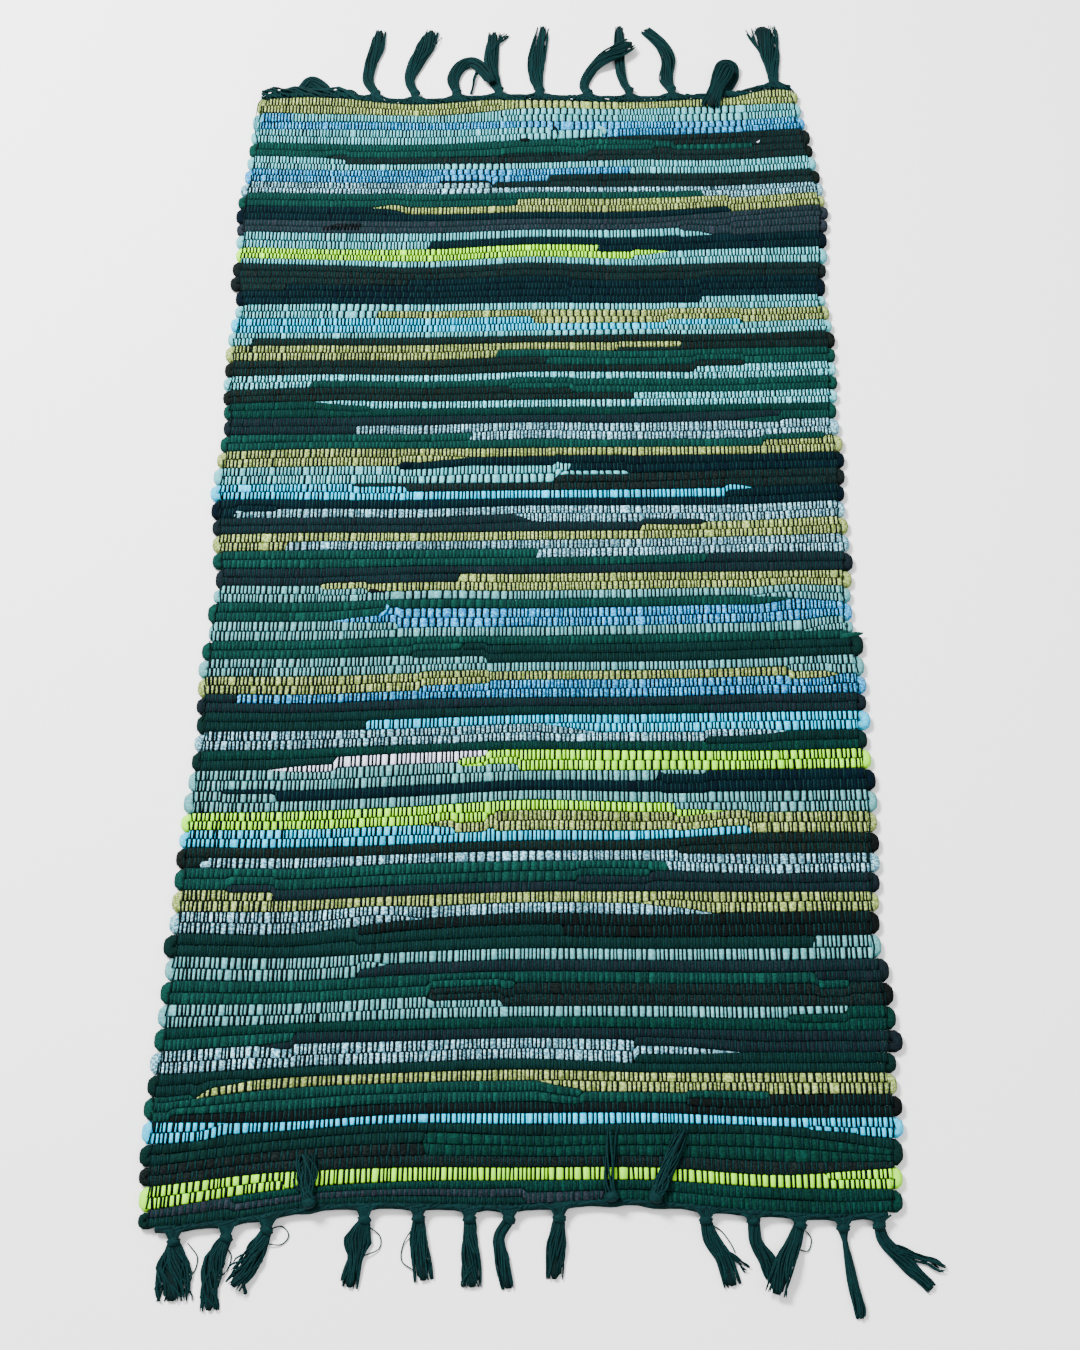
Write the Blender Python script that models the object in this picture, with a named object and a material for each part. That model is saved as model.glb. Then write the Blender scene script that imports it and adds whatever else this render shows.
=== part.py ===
"""A flat-woven rag rug, 60 by 119 cm, with knotted warp tassels at both ends.

The rug lies flat on its underside. X runs across the rug, Y along it and Z up, in metres.
Sizes are first laid out in the weaving's own plane, whose middle is the middle of the cloth.
At the end everything is moved so that the origin is at the bottom centre of the whole outline.

There are three solids: the woven cloth and, at each end, one comb of gathered warp with its
knotted tassels. A tassel that was flicked back lies on the cloth with a small gap under it.
"""

from collections import namedtuple
from math import cos, pi, sin

import bmesh
import bpy
from mathutils import Vector

# ---- Driving dimensions -------------------------------------------------------------------

CLOTH_THICKNESS = 0.008
CLOTH_EDGE_ROUND = 0.003
CLOTH_EDGE_STEPS = 2
CORNER_CUT = 0.012

HEADING_DEPTH = 0.005
HEADING_HEIGHT = 0.0045
HEADING_EDGE_ROUND = 0.0012
HEADING_SIDE_INSET = 0.004
CLOTH_TO_HEADING = 0.0007

KNOT_WIDTH = 0.0125
KNOT_HEIGHT = 0.0085
KNOT_LENGTH = 0.011
KNOT_FROM_HEADING = 0.0045
ROOT_WIDTH = 0.010
NECK_WIDTH = 0.0070
NECK_HEIGHT = 0.0045
TAIL_HEIGHT = 0.0052
TASSEL_SIDES = 8
STEPS_PER_TAIL_POINT = 3
STATION_CLEARANCE = 0.002

# A flicked-back tassel turns over beyond the heading: distance out and height of each step.
TURN_BACK = ((0.0035, 0.0008), (0.0055, 0.0042), (0.0035, 0.0082))

# The knot's sections: share of its length, of its width and of its height.
KNOT_SHAPE = ((-0.34, 0.64, 0.66), (-0.14, 0.94, 0.94), (0.10, 1.0, 1.0), (0.36, 0.8, 0.8))
NECK_SHARE = 0.62

# How high the underside of a tail lies when it rests on the cloth or crosses another tail.
ON_CLOTH = CLOTH_THICKNESS + 0.0006
ACROSS = TAIL_HEIGHT + 0.0006

# ---- The outline of the cloth -------------------------------------------------------------

# The two selvages wander a little, because every weft turn is pulled by hand.
Selvage = namedtuple("Selvage", "y left right")
SELVAGES = (
    Selvage(0.560, -0.2965, 0.2910),
    Selvage(0.520, -0.2975, 0.2995),
    Selvage(0.470, -0.2990, 0.3045),
    Selvage(0.420, -0.3015, 0.3080),
    Selvage(0.365, -0.3020, 0.3045),
    Selvage(0.315, -0.3025, 0.3010),
    Selvage(0.230, -0.3025, 0.3005),
    Selvage(0.150, -0.3000, 0.2985),
    Selvage(0.070, -0.2995, 0.3000),
    Selvage(0.000, -0.2965, 0.2980),
    Selvage(-0.070, -0.2955, 0.2980),
    Selvage(-0.150, -0.2960, 0.3005),
    Selvage(-0.220, -0.2985, 0.2995),
    Selvage(-0.300, -0.2980, 0.3005),
    Selvage(-0.380, -0.2995, 0.2990),
    Selvage(-0.450, -0.3015, 0.3030),
    Selvage(-0.500, -0.3055, 0.2995),
    Selvage(-0.545, -0.3060, 0.2975),
)

# The edge of the outermost rag row. The gathered warp follows it.
End = namedtuple("End", "x y")
FAR_END = (
    End(-0.284, 0.5965),
    End(-0.240, 0.5970),
    End(-0.200, 0.5940),
    End(-0.160, 0.5870),
    End(-0.120, 0.5840),
    End(-0.080, 0.5870),
    End(-0.040, 0.5900),
    End(0.000, 0.5890),
    End(0.040, 0.5860),
    End(0.080, 0.5845),
    End(0.120, 0.5840),
    End(0.160, 0.5860),
    End(0.200, 0.5880),
    End(0.240, 0.5950),
    End(0.276, 0.5975),
)
NEAR_END = (
    End(-0.292, -0.6010),
    End(-0.250, -0.5975),
    End(-0.210, -0.5920),
    End(-0.170, -0.5850),
    End(-0.120, -0.5825),
    End(-0.080, -0.5830),
    End(-0.040, -0.5840),
    End(0.000, -0.5840),
    End(0.040, -0.5815),
    End(0.080, -0.5800),
    End(0.120, -0.5830),
    End(0.160, -0.5870),
    End(0.200, -0.5895),
    End(0.240, -0.5915),
    End(0.284, -0.5895),
)

# ---- The tassels --------------------------------------------------------------------------

# A tassel leaves the heading, is tied in its knot, and its tail runs through the points
# given. Each point has the tail's width there and how high its underside lies.
Tail = namedtuple("Tail", "x y width rise")
Tassel = namedtuple("Tassel", "knot_x knot_y knot_rise tail")


def lying(knot_x, knot_y, *points):
    """A tassel that lies on the ground: its tail's points are (x, y, width)."""
    return Tassel(knot_x, knot_y, 0.0, [Tail(x, y, width, 0.0) for x, y, width in points])


def flicked_back(knot_x, knot_y, *points):
    """A tassel that lies on the cloth, knot and all: its tail's points are (x, y, width)."""
    tail = [Tail(x, y, width, ON_CLOTH) for x, y, width in points]
    return Tassel(knot_x, knot_y, ON_CLOTH + 0.0006, tail)


FAR_TASSELS = (
    # The first three are tucked under, so that only short humps show beyond the heading.
    lying(-0.2760, 0.6075, (-0.2700, 0.6150, 0.008), (-0.2630, 0.6165, 0.008)),
    lying(-0.2520, 0.6080, (-0.2490, 0.6230, 0.007), (-0.2420, 0.6280, 0.008),
          (-0.2340, 0.6220, 0.008), (-0.2290, 0.6080, 0.006)),
    lying(-0.2070, 0.6045, (-0.2100, 0.6130, 0.009), (-0.2160, 0.6150, 0.007)),
    lying(-0.1700, 0.5990, (-0.1800, 0.625, 0.010), (-0.1785, 0.650, 0.012),
          (-0.1725, 0.675, 0.013), (-0.1690, 0.700, 0.008)),
    lying(-0.1270, 0.5980, (-0.1345, 0.625, 0.010), (-0.1285, 0.650, 0.015),
          (-0.1185, 0.675, 0.016), (-0.1120, 0.699, 0.008)),
    Tassel(-0.0820, 0.5990, 0.0, [
        Tail(-0.0865, 0.6250, 0.011, 0.0),
        Tail(-0.0790, 0.6450, 0.012, 0.0),
        Tail(-0.0680, 0.6515, 0.012, 0.0),
        Tail(-0.0580, 0.6420, 0.012, 0.5 * ACROSS),
        Tail(-0.0490, 0.6240, 0.010, ACROSS),
        Tail(-0.0440, 0.6140, 0.006, ACROSS),
    ]),
    lying(-0.0360, 0.6020, (-0.0420, 0.625, 0.012), (-0.0450, 0.655, 0.014),
          (-0.0420, 0.695, 0.010)),
    lying(0.0090, 0.6000, (0.0050, 0.625, 0.012), (0.0060, 0.655, 0.015),
          (0.0120, 0.704, 0.009)),
    Tassel(0.0610, 0.5965, 0.0, [
        Tail(0.0570, 0.6150, 0.008, 0.0),
        Tail(0.0660, 0.6370, 0.010, 0.2 * ACROSS),
        Tail(0.0800, 0.6490, 0.014, ACROSS),
        Tail(0.0950, 0.6600, 0.016, ACROSS),
        Tail(0.1100, 0.6730, 0.014, 0.9 * ACROSS),
    ]),
    lying(0.1060, 0.5990, (0.0995, 0.622, 0.008), (0.0960, 0.655, 0.010),
          (0.0970, 0.703, 0.009)),
    lying(0.1520, 0.6000, (0.1470, 0.622, 0.012), (0.1500, 0.650, 0.013),
          (0.1420, 0.677, 0.012), (0.1250, 0.696, 0.010)),
    # This one goes out, turns over and comes back over itself onto the cloth.
    Tassel(0.2130, 0.5990, 0.0, [
        Tail(0.2160, 0.6130, 0.009, 0.0),
        Tail(0.2150, 0.6280, 0.009, 0.0),
        Tail(0.2110, 0.6350, 0.010, 0.0045),
        Tail(0.2060, 0.6280, 0.011, 0.0098),
        Tail(0.2020, 0.6120, 0.012, 0.0106),
        Tail(0.1980, 0.5960, 0.014, ON_CLOTH + 0.0020),
        Tail(0.1930, 0.5720, 0.018, ON_CLOTH),
    ]),
    lying(0.2640, 0.6035, (0.2630, 0.635, 0.012), (0.2610, 0.662, 0.018),
          (0.2540, 0.698, 0.028)),
)

NEAR_TASSELS = (
    lying(-0.2730, -0.6100, (-0.2715, -0.630, 0.024), (-0.2710, -0.653, 0.023)),
    lying(-0.2320, -0.6070, (-0.2400, -0.625, 0.014), (-0.2425, -0.642, 0.012),
          (-0.2410, -0.661, 0.013)),
    Tassel(-0.2010, -0.6010, 0.0, [
        Tail(-0.2100, -0.6220, 0.014, 0.0),
        Tail(-0.2240, -0.6430, 0.014, 0.8 * ACROSS),
    ]),
    flicked_back(-0.1680, -0.5840, (-0.1710, -0.5720, 0.010), (-0.1720, -0.5470, 0.014)),
    lying(-0.1250, -0.5935, (-0.1295, -0.610, 0.019), (-0.1310, -0.625, 0.011),
          (-0.1350, -0.643, 0.012)),
    lying(-0.0830, -0.5925, (-0.0820, -0.612, 0.013), (-0.0770, -0.638, 0.013)),
    lying(-0.0430, -0.5930, (-0.0420, -0.615, 0.012), (-0.0400, -0.643, 0.014)),
    lying(-0.0120, -0.5930, (-0.0200, -0.608, 0.008), (-0.0170, -0.625, 0.011),
          (-0.0130, -0.644, 0.009)),
    lying(0.0270, -0.5925, (0.0250, -0.612, 0.013), (0.0230, -0.637, 0.012)),
    flicked_back(0.0680, -0.5790, (0.0665, -0.5660, 0.010), (0.0690, -0.5250, 0.010)),
    flicked_back(0.1020, -0.5800, (0.1080, -0.5660, 0.012), (0.1260, -0.5290, 0.013)),
    lying(0.1410, -0.5940, (0.1440, -0.608, 0.011), (0.1540, -0.625, 0.012),
          (0.1600, -0.642, 0.011)),
    lying(0.1780, -0.5945, (0.1790, -0.611, 0.010), (0.1870, -0.625, 0.012),
          (0.1950, -0.641, 0.013)),
    Tassel(0.2140, -0.5975, 0.0, [
        Tail(0.2080, -0.6120, 0.011, 0.3 * ACROSS),
        Tail(0.1990, -0.6300, 0.014, ACROSS),
        Tail(0.1920, -0.6490, 0.016, ACROSS),
    ]),
    lying(0.2470, -0.6000, (0.2475, -0.617, 0.007), (0.2520, -0.640, 0.009),
          (0.2555, -0.665, 0.009)),
    lying(0.2750, -0.5985, (0.2780, -0.611, 0.009), (0.2900, -0.623, 0.013),
          (0.3050, -0.631, 0.019), (0.3190, -0.638, 0.022)),
)

# ---- Colours: base colour, roughness ------------------------------------------------------

RAG_MIX = ((0.095, 0.215, 0.225, 1.0), 0.85)
WARP_GREEN = ((0.004, 0.062, 0.058, 1.0), 0.80)


def clear_scene():
    for obj in list(bpy.data.objects):
        bpy.data.objects.remove(obj)


def make_material(name, look):
    colour, roughness = look
    material = bpy.data.materials.new(name)
    material.use_nodes = True
    shader = material.node_tree.nodes["Principled BSDF"]
    shader.inputs["Base Color"].default_value = colour
    shader.inputs["Roughness"].default_value = roughness
    shader.inputs["Metallic"].default_value = 0.0
    return material


def add_object(name, bm, material):
    bmesh.ops.recalc_face_normals(bm, faces=bm.faces)
    mesh = bpy.data.meshes.new(name)
    bm.to_mesh(mesh)
    bm.free()
    mesh.materials.append(material)
    obj = bpy.data.objects.new(name, mesh)
    bpy.context.scene.collection.objects.link(obj)
    return obj


def stand_on_origin(objects):
    """Places all objects so that the origin is at the bottom centre of their whole outline."""
    corners = [v.co for obj in objects for v in obj.data.vertices]
    low = [min(corner[i] for corner in corners) for i in range(3)]
    high = [max(corner[i] for corner in corners) for i in range(3)]
    for obj in objects:
        obj.location = (-(low[0] + high[0]) / 2, -(low[1] + high[1]) / 2, -low[2])


def curve_through(points, steps):
    """Points on a smooth Catmull-Rom curve that passes through the given ones."""
    points = [Vector(p) for p in points]
    padded = [2 * points[0] - points[1], *points, 2 * points[-1] - points[-2]]
    curve = []
    for before, start, end, after in zip(padded, padded[1:], padded[2:], padded[3:]):
        for i in range(steps):
            t = i / steps
            curve.append(
                0.5
                * (
                    2 * start
                    + (end - before) * t
                    + (2 * before - 5 * start + 4 * end - after) * t**2
                    + (3 * start - before - 3 * end + after) * t**3
                )
            )
    curve.append(points[-1])
    return curve


def edge_line(ends):
    """The edge of an end's outermost row as (x, y) points."""
    return [(p.x, p.y) for p in curve_through([(end.x, end.y, 0.0) for end in ends], 2)]


def edge_at(ends, x):
    """Where that edge lies along Y at this x."""
    line = edge_line(ends)
    for (x0, y0), (x1, y1) in zip(line, line[1:]):
        if x0 <= x <= x1:
            return y0 + (y1 - y0) * (x - x0) / (x1 - x0)
    raise ValueError("this x lies beyond the edge")


def flat_solid(name, outline, height, edge_round, edge_steps, material):
    """A plate with this outline, its underside on the ground and its edges rounded."""
    bm = bmesh.new()
    base = bm.faces.new([bm.verts.new((x, y, 0.0)) for x, y in outline])
    made = bmesh.ops.extrude_face_region(bm, geom=[base])
    raised = [v for v in made["geom"] if isinstance(v, bmesh.types.BMVert)]
    bmesh.ops.translate(bm, verts=raised, vec=(0.0, 0.0, height))
    rims = [e for e in bm.edges if abs(e.verts[0].co.z - e.verts[1].co.z) < height / 2]
    bmesh.ops.bevel(bm, geom=rims, offset=edge_round, segments=edge_steps, profile=0.5,
                    affect="EDGES")
    bmesh.ops.triangulate(bm, faces=[f for f in bm.faces if len(f.verts) > 4])
    return add_object(name, bm, material)


def make_cloth(material):
    """The woven mat: far end, right selvage, near end and left selvage, with cut corners."""
    far = edge_line(FAR_END)
    near = edge_line(NEAR_END)
    right = [(row.right, row.y) for row in SELVAGES]
    left = [(row.left, row.y) for row in SELVAGES]
    corners = {
        "far right": (right[0][0] - CORNER_CUT / 3, far[-1][1] - CORNER_CUT),
        "far left": (left[0][0] + CORNER_CUT / 3, far[0][1] - CORNER_CUT),
        "near right": (right[-1][0] - CORNER_CUT / 4, near[-1][1] + CORNER_CUT),
        "near left": (left[-1][0] + CORNER_CUT / 4, near[0][1] + CORNER_CUT),
    }
    outline = [*far, corners["far right"], *right, corners["near right"]]
    outline += [*near[::-1], corners["near left"], *left[::-1], corners["far left"]]
    return flat_solid("woven_body", outline, CLOTH_THICKNESS, CLOTH_EDGE_ROUND,
                      CLOTH_EDGE_STEPS, material)


Section = namedtuple("Section", "point width height")


def tassel_sections(tassel, ends, side):
    """The sections of one tassel beyond its root in the heading: its knot and its tail."""
    rim = edge_at(ends, tassel.knot_x) + side * (CLOTH_TO_HEADING + HEADING_DEPTH)
    sections = []
    if tassel.knot_rise > 0.0:
        knot_y = tassel.knot_y
        for out, rise in TURN_BACK:
            turn = Vector((tassel.knot_x, rim + side * out, rise))
            sections.append(Section(turn, NECK_WIDTH, NECK_HEIGHT))
    else:
        knot_y = side * max(side * tassel.knot_y, side * rim + KNOT_FROM_HEADING)
    knot = Vector((tassel.knot_x, knot_y, tassel.knot_rise))
    first = tassel.tail[0]
    ahead = (Vector((first.x, first.y, tassel.knot_rise)) - knot).normalized()
    for along, wide, high in KNOT_SHAPE:
        middle = knot + ahead * KNOT_LENGTH * along
        sections.append(Section(middle, KNOT_WIDTH * wide, KNOT_HEIGHT * high))
    neck = knot + ahead * KNOT_LENGTH * NECK_SHARE
    route = [neck, *(Vector((p.x, p.y, p.rise)) for p in tassel.tail)]
    widths = [NECK_WIDTH, *(p.width for p in tassel.tail)]
    heights = [NECK_HEIGHT, *(TAIL_HEIGHT for p in tassel.tail)]
    for i, point in enumerate(curve_through(route, STEPS_PER_TAIL_POINT)):
        span = min(i // STEPS_PER_TAIL_POINT, len(widths) - 2)
        share = i / STEPS_PER_TAIL_POINT - span
        width = widths[span] * (1 - share) + widths[span + 1] * share
        height = heights[span] * (1 - share) + heights[span + 1] * share
        sections.append(Section(point, width, height))
    return sections


def bridge(bm, ring, following):
    """Joins two rings of vertices with a band of faces."""
    for k in range(len(ring)):
        j = (k + 1) % len(ring)
        bm.faces.new((ring[k], ring[j], following[j], following[k]))


def add_tassel(bm, root, tassel, ends, side):
    """Grows one tassel out of its root, as flattened rings swept along its sections."""
    sections = tassel_sections(tassel, ends, side)
    middles = [s.point + Vector((0.0, 0.0, s.height / 2)) for s in sections]
    across = Vector((1.0, 0.0, 0.0))
    previous = root
    for i, section in enumerate(sections):
        before = sections[max(i - 1, 0)].point
        after = sections[min(i + 1, len(sections) - 1)].point
        along = (after - before).normalized()
        across = across - along * across.dot(along)
        across.z = 0.0
        across.normalize()
        upward = across.cross(along) * side
        ring = []
        for k in range(TASSEL_SIDES):
            angle = 2 * pi * (k + 0.5) / TASSEL_SIDES
            reach = 1 / cos(pi / TASSEL_SIDES)
            sideways = across * cos(angle) * section.width / 2 * reach
            raised = upward * sin(angle) * section.height / 2 * reach
            corner = middles[i] + sideways + raised
            corner.z = max(corner.z, 0.0)
            ring.append(bm.verts.new(corner))
        bridge(bm, previous, ring)
        previous = ring
    bm.faces.new(previous)


def heading_stations(ends, tassels):
    """X places along the heading, each with the tassel whose root starts there or None."""
    roots = {t.knot_x - ROOT_WIDTH / 2: t for t in tassels}
    low = ends[0].x + HEADING_SIDE_INSET
    high = ends[-1].x - HEADING_SIDE_INSET
    stations = [(low, None), (high, None)]
    for start, tassel in roots.items():
        stations += [(start, tassel), (start + ROOT_WIDTH, None)]
    more = []
    for x, _ in edge_line(ends):
        if all(abs(x - station) > STATION_CLEARANCE for station, _ in stations):
            if low < x < high and not any(start < x < start + ROOT_WIDTH for start in roots):
                more.append((x, None))
    return sorted(stations + more, key=lambda station: station[0])


def make_fringe(name, ends, side, tassels, material):
    """One comb: the heading, swept along X, with its tassels growing out of its rim."""
    bm = bmesh.new()
    stations = heading_stations(ends, tassels)
    shoulder = HEADING_HEIGHT - HEADING_EDGE_ROUND
    rings = []
    for x, _ in stations:
        inner = edge_at(ends, x) + side * CLOTH_TO_HEADING
        outer = inner + side * HEADING_DEPTH
        profile = (
            (outer, 0.0),
            (outer, shoulder / 3),
            (outer, shoulder * 2 / 3),
            (outer, shoulder),
            (outer - side * HEADING_EDGE_ROUND, HEADING_HEIGHT),
            (inner + side * HEADING_EDGE_ROUND, HEADING_HEIGHT),
            (inner, shoulder),
            (inner, 0.0),
        )
        rings.append([bm.verts.new((x, y, z)) for y, z in profile])
    for (_, tassel), ring, following in zip(stations, rings, rings[1:]):
        rim_faces = 3
        for k in range(rim_faces if tassel else 0, len(ring)):
            j = (k + 1) % len(ring)
            bm.faces.new((ring[k], ring[j], following[j], following[k]))
        if tassel:
            # The rim's open rectangle, in the same order as a tassel's ring.
            root = [following[2], following[3], ring[3], ring[2]]
            root += [ring[1], ring[0], following[0], following[1]]
            add_tassel(bm, root, tassel, ends, side)
    bm.faces.new(rings[0])
    bm.faces.new(rings[-1])
    return add_object(name, bm, material)


def main():
    clear_scene()
    rag = make_material("rag_weft", RAG_MIX)
    warp = make_material("cotton_warp", WARP_GREEN)
    cloth = make_cloth(rag)
    far = make_fringe("fringe_far", FAR_END, 1, FAR_TASSELS, warp)
    near = make_fringe("fringe_near", NEAR_END, -1, NEAR_TASSELS, warp)
    stand_on_origin([cloth, far, near])


main()
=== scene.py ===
# %% [markdown]
# # A rag rug
#
# The rug is a plain weave. Its weft is rolled strips of old jersey cloth, packed so tightly
# that they hide most of its warp, a thin dark green cotton. This notebook weaves it row by
# row over the imported model, which gives the place of the cloth and of its two fringes.
# The model's box is kept.

# %% The imported model
import math
import random

import bpy
import numpy as np
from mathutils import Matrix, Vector


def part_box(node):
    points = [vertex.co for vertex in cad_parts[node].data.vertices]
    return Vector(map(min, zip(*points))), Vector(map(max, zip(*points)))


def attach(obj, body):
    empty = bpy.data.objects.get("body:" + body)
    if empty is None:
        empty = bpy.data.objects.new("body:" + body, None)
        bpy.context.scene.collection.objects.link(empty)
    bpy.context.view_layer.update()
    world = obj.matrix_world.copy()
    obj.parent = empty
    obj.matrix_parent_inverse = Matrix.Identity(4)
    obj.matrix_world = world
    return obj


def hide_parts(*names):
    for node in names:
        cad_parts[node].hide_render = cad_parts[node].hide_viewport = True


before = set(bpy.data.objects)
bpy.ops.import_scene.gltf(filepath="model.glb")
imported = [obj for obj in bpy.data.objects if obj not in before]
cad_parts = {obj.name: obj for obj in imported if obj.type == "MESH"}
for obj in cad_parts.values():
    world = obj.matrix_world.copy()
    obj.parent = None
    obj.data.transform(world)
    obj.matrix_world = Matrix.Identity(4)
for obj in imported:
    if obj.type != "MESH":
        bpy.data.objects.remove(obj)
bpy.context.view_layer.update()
CLOTH_LOW, CLOTH_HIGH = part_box("woven_body")
MM = 0.001
print("the cloth's box:", tuple(CLOTH_LOW), tuple(CLOTH_HIGH))

# %% [markdown]
# ## The camera
#
# The view is from standing height at the rug's near end, looking down over its middle. A
# matrix could place the camera, but a place, three angles and a lens are easier to read. The
# long side of the frame is the sensor's 36 mm.

# %% The camera
CAMERA_PLACE = (0.0310, -0.8934, 1.4421)
CAMERA_TURN = (27.825, 1.083, 0.152)
LENS_MM = 48.0
SENSOR_MM = 36.0

camera_data = bpy.data.cameras.new("camera")
camera_data.lens = LENS_MM
camera_data.sensor_width = SENSOR_MM
camera = bpy.data.objects.new("camera", camera_data)
camera.location = CAMERA_PLACE
camera.rotation_euler = [math.radians(angle) for angle in CAMERA_TURN]
bpy.context.scene.collection.objects.link(camera)
bpy.context.scene.camera = camera
print("camera height:", CAMERA_PLACE[2])

# %% [markdown]
# ## Meshes from arrays
#
# The weave has some eighteen thousand ribs, so its meshes are computed as arrays and handed
# to Blender in one go. A class for shapes would do too, but a list of points and a list of
# faces are enough: every part adds its own to a heap, and each heap becomes one piece.

# %% Heaps of points and faces
heaps = {}


class Heap:
    """Points and faces for one piece, with a tone and a painted shade for each point."""

    def __init__(self):
        self.points = []
        self.tones = []
        self.painted_shades = []
        self.quads = []
        self.caps = []
        self.count = 0

    def add(self, points, quads, caps=(), tone=0.5, painted_shade=0.0):
        """Adds one shape. Its faces count its points from 0."""
        points = np.asarray(points, float).reshape(-1, 3)
        self.points.append(points)
        self.tones.append(np.broadcast_to(np.asarray(tone, float), (len(points),)))
        self.painted_shades.append(np.broadcast_to(np.asarray(painted_shade, float), (len(points),)))
        self.quads.append(np.asarray(quads, int).reshape(-1, 4) + self.count)
        self.caps += [[corner + self.count for corner in cap] for cap in caps]
        self.count += len(points)


def heap(name):
    """The heap of this name, made when it is first asked for."""
    return heaps.setdefault(name, Heap())


print("heaps are ready")

# %% Rings of points
def ring_faces(sections, sides):
    """Quads between rings of this many points each, and the two end caps."""
    ring = np.arange(sides)
    first = np.stack([ring, (ring + 1) % sides], axis=1)
    band = np.concatenate([first, first[:, ::-1] + sides], axis=1)
    steps = np.arange(sections - 1)[:, None, None] * sides
    quads = (band[None] + steps).reshape(-1, 4)
    last = (sections - 1) * sides
    caps = [list(range(sides))[::-1], [last + k for k in range(sides)]]
    return quads, caps


print("a tube of three rings of four points has", len(ring_faces(3, 4)[0]), "sides")

# %% From a heap to a piece
def piece_from(name, source, material):
    """One smooth mesh object from a heap, with its tones and painted shades as attributes."""
    points = np.concatenate(source.points)
    faces = np.concatenate(source.quads).tolist() + source.caps
    mesh = bpy.data.meshes.new(name)
    mesh.from_pydata(points.tolist(), [], faces)
    mesh.polygons.foreach_set("use_smooth", [True] * len(mesh.polygons))
    for word, values in (("tone", source.tones), ("painted_shade", source.painted_shades)):
        attribute = mesh.attributes.new(word, "FLOAT", "POINT")
        attribute.data.foreach_set("value", np.concatenate(values).astype(np.float32))
    mesh.materials.append(material)
    mesh.update()
    piece = bpy.data.objects.new(name, mesh)
    bpy.context.scene.collection.objects.link(piece)
    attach(piece, "root")
    return piece


print("pieces can be made")

# %% [markdown]
# ## The chart of the rows
#
# The stripes are leftover rags, woven in as they come. They could be painted on a flat mesh,
# but then no strip would have a body or an end of its own. So the rug is charted as a weaver
# would: line by line from the far end, in millimetres. Every block lies between two lines
# that run from edge to edge, and each line is given at seven places across. A block lists its
# rows in order. A row's colour may start or stop within the rug, and two numbers with a
# stroke give a long taper. Rows share their block's height, so a strip that starts or stops
# bends its neighbours, as on the real cloth.

# %% The chart's two ends
# The y of each end of the cloth at some places across.
FAR_EDGE = {
    -290: 595, -240: 597, -200: 594, -160: 587, -120: 584, -85: 586, -45: 589.5, 0: 589,
    40: 587, 80: 585, 120: 584, 160: 586, 200: 588, 222: 590, 240: 596, 262: 600, 275: 599,
    283: 596, 290: 587,
}
NEAR_EDGE = {
    -292: -601, -250: -597.5, -210: -592, -170: -585, -120: -582.5, -80: -583, -40: -584,
    0: -584, 40: -581.5, 80: -580, 120: -583, 160: -587, 200: -589.5, 240: -591.5,
    290: -589.5,
}
print("the cloth is", FAR_EDGE[0] - NEAR_EDGE[0], "mm long in the middle")

# %% The chart
# The places across at which the lines are given.
LINE_AT = (-290, -200, -100, 0, 100, 200, 290)
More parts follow.
